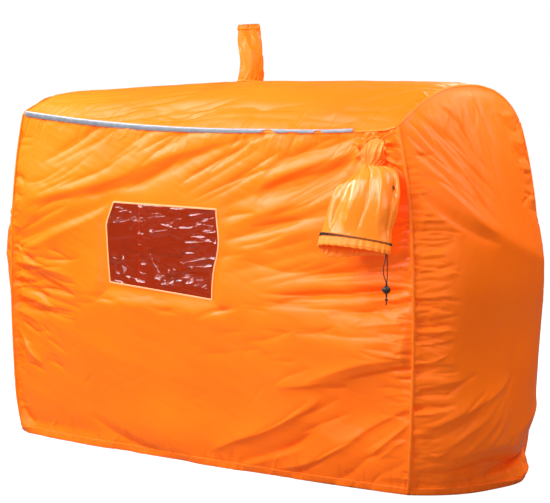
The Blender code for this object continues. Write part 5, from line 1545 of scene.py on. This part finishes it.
def collar_line(turns):
    x = SIDE_VENT_X + SIDE_VENT_RADIUS * np.cos(turns)
    z = SIDE_VENT_Z + SIDE_VENT_RADIUS * np.sin(turns)
    return np.stack([x + middle[0], front_y(x, z) - COLLAR_STAND_OFF, z], -1)


collar_turns = full_turn(160)
collar_swell = 1.0 + 0.14 * hills(collar_turns * 4.0, 0.0 * collar_turns + 1.5, 310)
collar_profile = rounded_profile(0.0056, 0.005)[None] * collar_swell[:, None, None]


def bound_collar(name, line, outward, node):
    """A bound ring in the cloth that a vent's sleeve is sewn to."""
    out = np.broadcast_to(outward, line.shape)
    sideways = unit(np.cross(tangents(line, closed=True), out))
    mesh = swept(name, line, sideways, out, collar_profile, True, COLLAR_CUT)
    item = add_piece(name, mesh, seam_material_with_painted_highlight, node=node)
    return item


side_collar = bound_collar("side_collar", collar_line(collar_turns), OUT_OF_FRONT,
                           "side_vent_collar")


def cuff_wave(phi):
    """The gathers of the cuff, where its cord pulls the cloth together."""
    drift = 0.35 * hills(phi * 3.0, 0.0 * phi + 0.7, 311)
    strength = 0.45 + 0.6 * hills(phi * 2.0, 0.0 * phi + 3.7, 312)
    return np.cos(CUFF_GATHERS * (phi + 0.3 * drift)) * strength


CASING_SHARE = (1.0 - SLEEVE_END) / CUFF_HEIGHT
CUFF_WAVE = 0.0015
CUFF_LEG_TOP = 0.001
CUFF_LEG = 0.0026
BACK_DROP = 0.02
BACK_DROP_TURN = math.radians(228.0)


def cuff_length(phi):
    """The cuff hangs lower at its back left, so its inside shows there."""
    turned = np.arctan2(np.sin(phi - BACK_DROP_TURN), np.cos(phi - BACK_DROP_TURN))
    return CUFF_HEIGHT + BACK_DROP * np.exp(-(turned / 0.75) ** 2)


CUFF_ROWS = 26


def cuff_points():
    """Down the outer leg, round the fold at the bottom and up the inner leg."""
    round_cuff = full_turn(432)
    phi, run = np.meshgrid(round_cuff, np.linspace(0.0, 1.0, CUFF_ROWS))
    fold = 0.5 * (1.0 + np.cos(np.pi * np.clip((run - 0.42) / 0.16, 0.0, 1.0)))
    depth = np.where(run < 0.5, np.minimum(run / 0.46, 1.0), np.minimum((1.0 - run) / 0.46, 1.0))
    leg = CUFF_LEG_TOP + (CUFF_LEG - CUFF_LEG_TOP) * smooth(0.1, 0.45, depth)
    grow = leg * (2.0 * fold - 1.0)
    wave = cuff_wave(phi)
    grow = grow + CUFF_WAVE * wave * (0.55 + 0.45 * depth)
    tuck = 0.0016 * wave * smooth(0.5, 1.0, depth)
    bulb = 0.0018 * np.sin(np.pi * np.clip((run - 0.42) / 0.16, 0.0, 1.0))
    s = SLEEVE_END + (depth * cuff_length(phi) + tuck + bulb) * CASING_SHARE
    return tube_surface(SIDE_STATIONS, s, phi, grow, OUT_OF_FRONT)


cuff_mesh = grid_mesh("side cuff", cuff_points(), (0.42, 0.06), wrapped=True)
# The cuff has the sleeve's lighter, painted orange
cuff_material = cloth_material("cuff nylon", SLEEVE_ORANGE_PAINTED_LIGHTER, ORANGE, 0.38, 0.35)
side_cuff = add_piece("side_cuff", cuff_mesh, cuff_material, "side_vent",
                      node="side_vent_cuff")


def round_tube(name, line, outward, radius, sides, closed, material, body, node=None):
    """A round tube along a line. outward is a way that the line never runs."""
    along = tangents(line, closed=closed)
    outward = np.broadcast_to(np.asarray(outward, float), line.shape)
    outward = unit(outward - along * (outward * along).sum(-1, keepdims=True))
    across = np.cross(along, outward)
    turn = full_turn(sides)
    profile = radius * np.stack([np.cos(turn), np.sin(turn)], -1)
    mesh = swept(name, line, across, outward, profile, closed, (1.0, line_length(line)))
    return add_piece(name, mesh, material, body, node)


# Two rows of dark zigzag thread close the casing at its top, and a few dark stitches show
# on its lower right edge
ZIGZAGS = 128
ZIGZAG_STAND_OFF = 0.0014
ZIGZAG_RADIUS = 0.0011


def zigzag_line(start, height):
    phi = full_turn(ZIGZAGS * 2)
    row = np.where(np.arange(len(phi)) % 2 == 0, 0.0, height)
    depth = (start + row) / CUFF_HEIGHT
    wave = CUFF_WAVE * cuff_wave(phi) * (0.55 + 0.45 * depth)
    leg = CUFF_LEG_TOP + (CUFF_LEG - CUFF_LEG_TOP) * smooth(0.1, 0.45, depth)
    grow = leg + wave + ZIGZAG_STAND_OFF
    s = SLEEVE_END + depth * CUFF_HEIGHT * CASING_SHARE
    return tube_surface(SIDE_STATIONS, s, phi, grow, OUT_OF_FRONT)


stitching = zigzag_line(0.0016, 0.005)
from_axis = unit(stitching - stitching.mean(0))
zigzag = round_tube("side_cuff_zigzag", stitching, from_axis, ZIGZAG_RADIUS, 6, True, dark_thread,
                    "side_vent", "side_vent_stitching")


def cuff_edge_line(count, first, last, depth):
    phi = np.linspace(first, last, count)
    grow = CUFF_LEG + CUFF_WAVE * cuff_wave(phi) + 0.0004
    s = SLEEVE_END + depth * CUFF_HEIGHT * CASING_SHARE
    return tube_surface(SIDE_STATIONS, np.full(count, s), phi, grow, OUT_OF_FRONT)


edge_row = cuff_edge_line(200, math.radians(98.0), math.radians(2.0), 0.9)
edge_stitches = stitch_row("side_cuff_edge_stitches", edge_row, unit(edge_row - stitching.mean(0)),
                           dark_thread, "side_vent", pitch=0.0036,
                           length=0.0024, radius=0.0005)

# A small folded tab, bartacked with dark thread on the sleeve's right edge. A bit of pale
# tape shows in its fold
TAB_SIZE = (0.0078, 0.002, 0.01)
TAPE_FOLD_SIZE = (0.0022, 0.0024, 0.0044)
BARTACK_STITCHES = 9
BARTACK_PITCH = 0.00105
BARTACK_RADIUS = 0.0009
TAB_TURN = math.radians(13.0)
tab_centre = sum(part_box("side_vent_tab"), Vector()) / 2
tab_way = Vector((math.cos(TAB_TURN), math.sin(TAB_TURN), 0.0))


def small_block(name, centre, size, bevel, material, body, node=None):
    draft = bmesh.new()
    bmesh.ops.create_cube(draft, size=1.0)
    bmesh.ops.scale(draft, verts=draft.verts, vec=size)
    bmesh.ops.bevel(draft, geom=draft.edges[:], offset=bevel, segments=3, profile=0.6,
                    affect="EDGES")
    bmesh.ops.rotate(draft, verts=draft.verts, matrix=Matrix.Rotation(TAB_TURN, 3, "Z"))
    bmesh.ops.translate(draft, verts=draft.verts, vec=centre)
    mesh = bpy.data.meshes.new(name)
    draft.to_mesh(mesh)
    draft.free()
    mesh.shade_smooth()
    return add_piece(name, mesh, material, body, node)


tab = small_block("side_tab", tab_centre, TAB_SIZE, 0.0006, seam_material_with_painted_highlight,
                  "side_vent", "side_vent_tab")
pale_tape = thread_material("pale tape", (0.8, 0.78, 0.74))
small_block("side_tab_fold", tab_centre + tab_way * 0.0034 + Vector((0.0, 0.0, 0.0022)),
            TAPE_FOLD_SIZE, 0.0004, pale_tape, "side_vent")
bartack = []
for turn in range(BARTACK_STITCHES):
    rise = Vector((0.0, -0.0018, -0.0042 + turn * BARTACK_PITCH))
    bartack.append(tab_centre - tab_way * 0.0016 + rise
                   + tab_way * (0.002 if turn % 2 else -0.002))
round_tube("side_tab_bartack", np.array(bartack), (0.0, -1.0, 0.0), BARTACK_RADIUS, 6, False,
           dark_thread, "side_vent")

# Drawcord. One dark braided cord runs round inside the cuff and leaves it through a metal
# eyelet as two strands, which pass through a ball lock and end in one knot
KNOT_SIZE = 0.00115


def braided_cord():
    """Node group: the height of a round braid over its UVs, round it and along it."""
    group, given, result = new_group(
        "braid", {"Plaits round": ("Float", 4.0), "Plaits per metre": ("Float", 620.0)},
        {"Height": "Float"})
    flat = add_node(group, "UVMap", uv_map="flat")
    apart = add_node(group, "SeparateXYZ", {"Vector": flat["UV"]})
    around = maths(group, "MULTIPLY", apart["X"], given["Plaits round"])
    down = maths(group, "MULTIPLY", apart["Y"], given["Plaits per metre"])
    waves = []
    for way in ("ADD", "SUBTRACT"):
        phase = maths(group, "MULTIPLY", maths(group, way, around, down), 2.0 * math.pi)
        waves.append(maths(group, "SINE", phase))
    fill(group, result, {"Height": maths(group, "MAXIMUM", *waves)})
    return group


def cord_material():
    material, tree, shader = new_material("dark cord")
    braid = add_node(tree, "Group", node_tree=braided_cord())["Height"]
    # Painted shade: the cord is darker in the grooves of its braid
    shade = add_node(tree, "Mix", {"A": (0.006, 0.005, 0.005, 1.0), "Factor": braid,
                                   "B": (0.02, 0.018, 0.018, 1.0)}, data_type="RGBA")
    bump = add_node(tree, "Bump", {"Strength": 0.6, "Distance": 0.0003, "Height": braid})
    fill(tree, shader, {"Roughness": 0.6, "Sheen Weight": 0.05, "Base Color": shade["Result"],
                        "Normal": bump["Normal"]})
    return material


def hard_material(name, colour, roughness, metallic, scratch):
    """Plastic or metal with fine scratches, duller where it is worn."""
    material, tree, shader = new_material(name)
    place = add_node(tree, "TexCoord")["Object"]
    wear = add_node(tree, "TexNoise", {"Scale": 350.0, "Detail": 4.0, "Vector": place})["Fac"]
    rough = add_node(tree, "MapRange", {"To Min": roughness - 0.08, "To Max": roughness + 0.12,
                                        "Value": wear})
    bump = add_node(tree, "Bump", {"Strength": scratch, "Distance": 0.0001, "Height": wear})
    fill(tree, shader, {"Base Color": (*colour, 1.0), "Metallic": metallic,
                        "Roughness": rough["Result"], "Normal": bump["Normal"]})
    return material


dark_cord = cord_material()
black_plastic = hard_material("black plastic", (0.014, 0.014, 0.015), 0.34, 0.0, 0.15)
spring_steel = hard_material("spring steel", (0.55, 0.55, 0.55), 0.25, 1.0, 0.1)
eyelet_metal = hard_material("eyelet metal", (0.1, 0.09, 0.085), 0.32, 1.0, 0.1)

cord_share = 1.0 - (CORD_RADIUS + 0.0014) * CASING_SHARE
cord_turns = full_turn(300)
cord_wave = 0.0016 * cuff_wave(cord_turns)
cord_line = tube_surface(SIDE_STATIONS, np.full(300, cord_share), cord_turns, cord_wave,
                         OUT_OF_FRONT)
round_tube("casing_cord", cord_line, unit(cord_line - cord_line.mean(0)), CORD_RADIUS, 12, True,
           dark_cord, "side_vent", "side_vent_drawcord")

eyelet_centre = np.array(sum(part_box("side_vent_eyelet"), Vector()) / 2)
here, ahead = (at_share(SIDE_STATIONS, np.array([share]))[0, :3] for share in (0.98, 1.0))
eyelet_way = unit(ahead - here)
eyelet_wide = unit(np.array([1.0, 0.0, 0.0]) - eyelet_way * eyelet_way[0])
eyelet_deep = np.cross(eyelet_way, eyelet_wide)
EYELET_HALF = (0.003, 0.0046)
EYELET_WIRE = 0.001
eyelet_turns = full_turn(72)[:, None]
eyelet_ring = (eyelet_centre + eyelet_wide * EYELET_HALF[0] * np.cos(eyelet_turns)
               + eyelet_deep * EYELET_HALF[1] * np.sin(eyelet_turns))
round_tube("side_eyelet", eyelet_ring, eyelet_way, EYELET_WIRE, 14, True, eyelet_metal,
           "side_vent", "side_vent_eyelet")

REAR_STRAND = np.array(((0.0, 0.0, 0.0), (0.0005, 0.0004, 0.18), (0.001, 0.0008, 0.36),
                        (0.0005, 0.0004, 0.5), (0.0, 0.0, 0.62), (0.0, 0.0, 0.7),
                        (0.0, 0.0, 0.85), (0.0, 0.0, 1.0)))
FRONT_STRAND = np.array(((0.0, 0.0, 0.0), (-0.0012, -0.001, 0.12), (-0.0046, -0.0042, 0.32),
                         (-0.004, -0.0036, 0.48), (-0.0004, -0.0003, 0.62), (0.0, 0.0, 0.7),
                         (0.0, 0.0, 0.85), (0.0, 0.0, 1.0)))
knot_low, knot_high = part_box("drawcord_knot")
knot_centre = np.array((knot_low + knot_high) / 2)


def strand_line(route, side):
    moves = at_share(route, np.linspace(0.0, 1.0, 120))
    bottom = knot_high.z + 0.0005
    x = eyelet_centre[0] + moves[:, 0]
    y = eyelet_centre[1] + side * CORD_SPACING / 2 + moves[:, 1]
    z = eyelet_centre[2] + (bottom - eyelet_centre[2]) * moves[:, 2]
    return np.stack([x, y, z], -1)


rear_line = strand_line(REAR_STRAND, 1)
front_line = strand_line(FRONT_STRAND, -1)
rear_strand = round_tube("rear_strand", rear_line, (1.0, 0.0, 0.0), CORD_RADIUS, 16, False,
                         dark_cord, "side_vent", "drawcord_strand_rear")
front_strand = round_tube("front_strand", front_line, (1.0, 0.0, 0.0), CORD_RADIUS, 16, False,
                          dark_cord, "side_vent", "drawcord_strand_front")

# The knot is an overhand knot in both strands, with their ends cut off a little below it
loop = full_turn(120)
knot_line = np.stack([np.sin(loop) + 2.0 * np.sin(2.0 * loop), 1.15 * np.sin(3.0 * loop),
                      np.cos(loop) - 2.0 * np.cos(2.0 * loop)], -1) * KNOT_SIZE + knot_centre
bending = np.roll(knot_line, -1, 0) - 2.0 * knot_line + np.roll(knot_line, 1, 0)
knot = round_tube("cord_knot", knot_line, bending, CORD_RADIUS, 14, True, dark_cord,
                  "side_vent", "drawcord_knot")
for tail_name, lean, drop in (("left", -0.0016, 0.013), ("right", 0.0006, 0.0105)):
    run = np.linspace(0.0, 1.0, 24)
    tail_line = knot_centre + np.stack([lean * run ** 1.5 * 1.6, -lean * (1.0 - run),
                                        -0.0015 - (drop - 0.0015) * run], -1)
    round_tube(f"cord_tail_{tail_name}", tail_line, (1.0, 0.0, 0.0),
                            CORD_RADIUS * 0.96, 14, False, dark_cord, "side_vent")

# The ball lock: two halves of black plastic, a plunger pressed in at its left and the
# spring behind the plunger
for node_name, material, slot_name in (("cord_lock_ball", black_plastic, "black_plastic"),
                                       ("cord_lock_plunger", black_plastic, "black_plastic"),
                                       ("cord_lock_spring", spring_steel, "spring_steel")):
    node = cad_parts[node_name]
    node.data.materials.clear()
    node.data.materials.append(material)
    node.data.shade_smooth()
    node.data.set_sharp_from_angle(angle=math.radians(35.0))

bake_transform(side_sleeve)

# Roof vent. A second tube of the same nylon stands on the roof. It has been twisted, so
# its folds run round it, and its tip is rolled over with a dark binding
ROOF_HEIGHT = 0.152
ROOF_CUFF_HEIGHT = 0.014
ROOF_TWIST = 70.0
ROOF_TIP_TURN = 40.0
ROOF_SLEEVE_END = 1.0 - ROOF_CUFF_HEIGHT / ROOF_HEIGHT
ROOF_COLUMNS_ROUND = 192
ROOF_SLEEVE_ROWS = 110
ROOF_CUFF_ROWS = 28
RIM_RADIUS = 0.0009
ROOF_SLEEVE_CUT = (0.215, 0.165)
UPWARD = np.array([0.0, 0.0, 1.0])


def roof_z(x, y):
    """Height of the roof over a point of its plan, in the frame of the sewing plan."""
    u = np.asarray(x, float) / (LENGTH / 2)
    v = np.asarray(y, float) / (WIDTH / 2)
    for _ in range(8):
        place = roof_panel(u, v) - middle
        u = u + (x - place[..., 0]) / (LENGTH / 2)
        v = v + (y - place[..., 1]) / (WIDTH / 2)
    return place[..., 2]


roof_root_z = float(arch_z(ROOF_VENT_X / (LENGTH / 2), ROOF_VENT_Y / (WIDTH / 2))) + ROOT_STAND_OFF
# Middle of each section, its height, half width and depth, as shares, and its twist
ROOF_STATIONS = np.array((
    (0.0, 0.0, 0.0, 1.0, 1.0, 0.0),
    (0.003, 0.0, 0.18, 1.04, 0.92, 0.15),
    (0.006, -0.001, 0.38, 0.99, 0.8, 0.4),
    (0.003, -0.001, 0.6, 0.97, 0.68, 0.65),
    (-0.005, 0.0, 0.8, 0.94, 0.46, 0.85),
    (-0.008, 0.001, 1.0, 0.81, 0.28, 1.0)))
ROOF_STATIONS[:, 0] += ROOF_VENT_X + middle[0]
ROOF_STATIONS[:, 1] += ROOF_VENT_Y + middle[1]
ROOF_STATIONS[:, 2] = roof_root_z + ROOF_STATIONS[:, 2] * ROOF_HEIGHT
ROOF_STATIONS[:, 3:5] *= ROOF_VENT_RADIUS
ROOF_STATIONS[:, 5] = (ROOF_STATIONS[:, 5] - 1.0) * ROOF_TWIST + ROOF_TIP_TURN


def roof_sleeve_points():
    phi, s = np.meshgrid(full_turn(ROOF_COLUMNS_ROUND),
                         np.linspace(0.0, 1.0, ROOF_SLEEVE_ROWS) * ROOF_SLEEVE_END)
    twisted = phi + 2.6 * s
    drift = 0.35 * hills(phi * 1.2, s * 4.0, 320)
    ridges = np.cos(5.0 * (twisted + drift))
    small = 1.0 - 2.0 * np.abs(np.sin(4.0 * (phi + 3.4 * s + 0.6 * drift)))
    gathers = np.cos(17.0 * (phi + 0.4 * drift)) * np.exp(-(s / 0.1) ** 2) * smooth(0.0, 0.04, s)
    swell = smooth(0.02, 0.2, s)
    grow = swell * (0.002 * ridges + 0.0012 * small) + 0.0014 * gathers
    grow = grow + 0.0003 * swell * hills(phi * 0.05 / 0.008, s * 0.15 / 0.02, 322)
    points = tube_surface(ROOF_STATIONS, s, phi, grow, UPWARD)
    foot = roof_z(points[..., 0] - middle[0], points[..., 1] - middle[1]) + 0.004
    points[..., 2] += (foot - roof_root_z) * (1.0 - smooth(0.0, 0.35, s / ROOF_SLEEVE_END))
    return points


roof_sleeve_mesh = grid_mesh("roof sleeve", roof_sleeve_points(), ROOF_SLEEVE_CUT, wrapped=True)
roof_sleeve = add_piece("roof_sleeve", roof_sleeve_mesh, orange_nylon, None,
                        node="roof_vent_sleeve")


def roof_cuff_points():
    """The tip of the sleeve, rolled outwards and down again."""
    phi, run = np.meshgrid(full_turn(ROOF_COLUMNS_ROUND), full_turn(ROOF_CUFF_ROWS))
    wave = hills(phi * 3.0, 0.0 * phi + 2.0, 330)
    half = ROOF_CUFF_HEIGHT / 2
    s = ROOF_SLEEVE_END + (half - half * np.cos(run) + 0.0008 * wave) / ROOF_HEIGHT
    grow = 0.0024 * np.sin(run) * (1.0 + 0.25 * wave) + 0.0008 * wave
    return tube_surface(ROOF_STATIONS, s, phi, grow, UPWARD)


# The rim's last colour is a weaker painted glow in place of the light that comes through
rim_material = cloth_material("vent rim", (0.2, 0.045, 0.01), (0.1, 0.022, 0.008), 0.45, 0.3,
                              (0.1, 0.01, 0.002))
cuff_ring = roof_cuff_points()
roof_cuff_mesh = grid_mesh("roof cuff", np.concatenate([cuff_ring, cuff_ring[:1]]), (0.2, 0.04),
                           wrapped=True)
draft = bmesh.new()
draft.from_mesh(roof_cuff_mesh)
bmesh.ops.remove_doubles(draft, verts=draft.verts, dist=0.00001)
bmesh.ops.recalc_face_normals(draft, faces=draft.faces)
draft.to_mesh(roof_cuff_mesh)
draft.free()
roof_cuff_mesh.shade_smooth()
roof_cuff = add_piece("roof_cuff", roof_cuff_mesh, orange_nylon, "roof_vent",
                      node="roof_vent_cuff")

rim_line = cuff_ring[ROOF_CUFF_ROWS // 2]
round_tube("roof_cuff_rim", rim_line, unit(rim_line - rim_line.mean(0)), RIM_RADIUS, 8, True,
           rim_material, "roof_vent")


def roof_collar_line(turns):
    x = ROOF_VENT_X + ROOF_VENT_RADIUS * np.cos(turns)
    y = ROOF_VENT_Y + ROOF_VENT_RADIUS * np.sin(turns)
    return np.stack([x, y, roof_z(x, y) + COLLAR_STAND_OFF], -1) + middle


roof_collar = bound_collar("roof_collar", roof_collar_line(collar_turns), UPWARD,
                           "roof_vent_collar")

ROOF_EYELET_RADIUS = 0.0028
spot_centre = np.array(sum(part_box("roof_vent_eyelet"), Vector()) / 2)
tip_turn = math.radians(ROOF_TIP_TURN)
spot_across = np.array([math.cos(tip_turn), math.sin(tip_turn), 0.0])
spot_ring = spot_centre + ROOF_EYELET_RADIUS * (spot_across * np.cos(eyelet_turns)
                                                + UPWARD * np.sin(eyelet_turns))
round_tube("roof_eyelet", spot_ring, np.cross(spot_across, UPWARD), EYELET_WIRE, 14, True,
           eyelet_metal, "roof_vent", "roof_vent_eyelet")
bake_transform(roof_sleeve)

# Studio. A pale floor, large soft lights high at the left, the front, the right and the
# rear, a narrow one and a low one, and an even pale surround
floor_mesh = bpy.data.meshes.new("studio floor")
FLOOR_REACH = 400.0
floor_mesh.from_pydata([(-FLOOR_REACH, -FLOOR_REACH, 0.0), (FLOOR_REACH, -FLOOR_REACH, 0.0),
                        (FLOOR_REACH, FLOOR_REACH, 0.0), (-FLOOR_REACH, FLOOR_REACH, 0.0)], [],
                       [(0, 1, 2, 3)])
floor_material, floor_tree, floor_shader = new_material("pale floor")
floor_seen = add_node(floor_tree, "LightPath")["Is Camera Ray"]
floor_glow = add_node(floor_tree, "MapRange", {"To Max": 0.985, "Value": floor_seen})
fill(floor_tree, floor_shader, {"Base Color": (0.3, 0.3, 0.3, 1.0), "Roughness": 0.9,
                                "Specular IOR Level": 0.0,
                                "Emission Color": (1.0, 1.0, 1.0, 1.0),
                                "Emission Strength": floor_glow["Result"]})
floor_material.cycles.emission_sampling = "NONE"
floor = bpy.data.objects.new("studio_floor", floor_mesh)
floor_mesh.materials.append(floor_material)
bpy.context.scene.collection.objects.link(floor)
floor.location.z = -0.0005


LAMP_TARGET = Vector((0.0, 0.0, 0.6))


def soft_light(name, azimuth, elevation, distance, width, height, power):
    data = bpy.data.lights.new(name, "AREA")
    data.shape = "RECTANGLE"
    data.size = width
    data.size_y = height
    data.energy = power
    data.color = (1.0, 0.98, 0.95)
    lamp = bpy.data.objects.new(name, data)
    bpy.context.scene.collection.objects.link(lamp)
    azimuth = math.radians(azimuth)
    elevation = math.radians(elevation)
    away = Vector((math.sin(azimuth) * math.cos(elevation),
                   -math.cos(azimuth) * math.cos(elevation), math.sin(elevation)))
    lamp.location = LAMP_TARGET + away * distance
    lamp.rotation_euler = away.to_track_quat("Z", "Y").to_euler()


# Each lamp's azimuth from the front and its elevation in degrees, its distance from the
# middle of the shelter, its width and height, and its power in watts
soft_light("front light", 10.0, 36.0, 1.9, 0.9, 0.9, 29.0)
soft_light("left light", -60.0, 38.0, 1.9, 0.9, 0.9, 38.0)
soft_light("strip light", -8.0, 17.0, 2.5, 0.22, 1.1, 20.0)
soft_light("right light", 108.0, 40.0, 1.9, 0.9, 0.9, 20.0)
soft_light("low light", 60.0, 12.0, 2.5, 0.9, 0.9, 9.0)
soft_light("rear light", 180.0, 45.0, 2.5, 0.9, 0.9, 42.0)

world = bpy.data.worlds.new("surround")
world.use_nodes = True
bpy.context.scene.world = world
seen = add_node(world.node_tree, "LightPath")["Is Camera Ray"]
level = add_node(world.node_tree, "MapRange", {"To Min": 0.1, "To Max": 1.0, "Value": seen})
fill(world.node_tree, world.node_tree.nodes["Background"],
     {"Strength": level["Result"], "Color": (1.0, 1.0, 1.0, 1.0)})

# The camera stands well back at the front right, a little above the ground, with a long
# lens
CAMERA_AZIMUTH = math.radians(44.0)
CAMERA_ELEVATION = math.radians(5.14)
CAMERA_DISTANCE = 6.64
CAMERA_TARGET = Vector((0.052, 0.0, 0.543)) + Vector(middle)
SENSOR = 36.0
PHOTO_WIDTH = 550.0
FOCAL_PIXELS = 2490.0
backwards = Vector((math.sin(CAMERA_AZIMUTH) * math.cos(CAMERA_ELEVATION),
                    -math.cos(CAMERA_AZIMUTH) * math.cos(CAMERA_ELEVATION),
                    math.sin(CAMERA_ELEVATION)))
rightwards = Vector((math.cos(CAMERA_AZIMUTH), math.sin(CAMERA_AZIMUTH), 0.0))
upwards = backwards.cross(rightwards)
camera_data = bpy.data.cameras.new("camera")
camera_data.sensor_width = SENSOR
camera_data.lens = FOCAL_PIXELS * SENSOR / PHOTO_WIDTH
camera_data.clip_end = 1000.0
camera = bpy.data.objects.new("camera", camera_data)
bpy.context.scene.collection.objects.link(camera)
turn = Matrix((rightwards, upwards, backwards)).transposed().to_4x4()
turn.translation = CAMERA_TARGET + backwards * CAMERA_DISTANCE
camera.matrix_world = turn
bpy.context.scene.camera = camera
bpy.context.scene.view_settings.view_transform = "Standard"
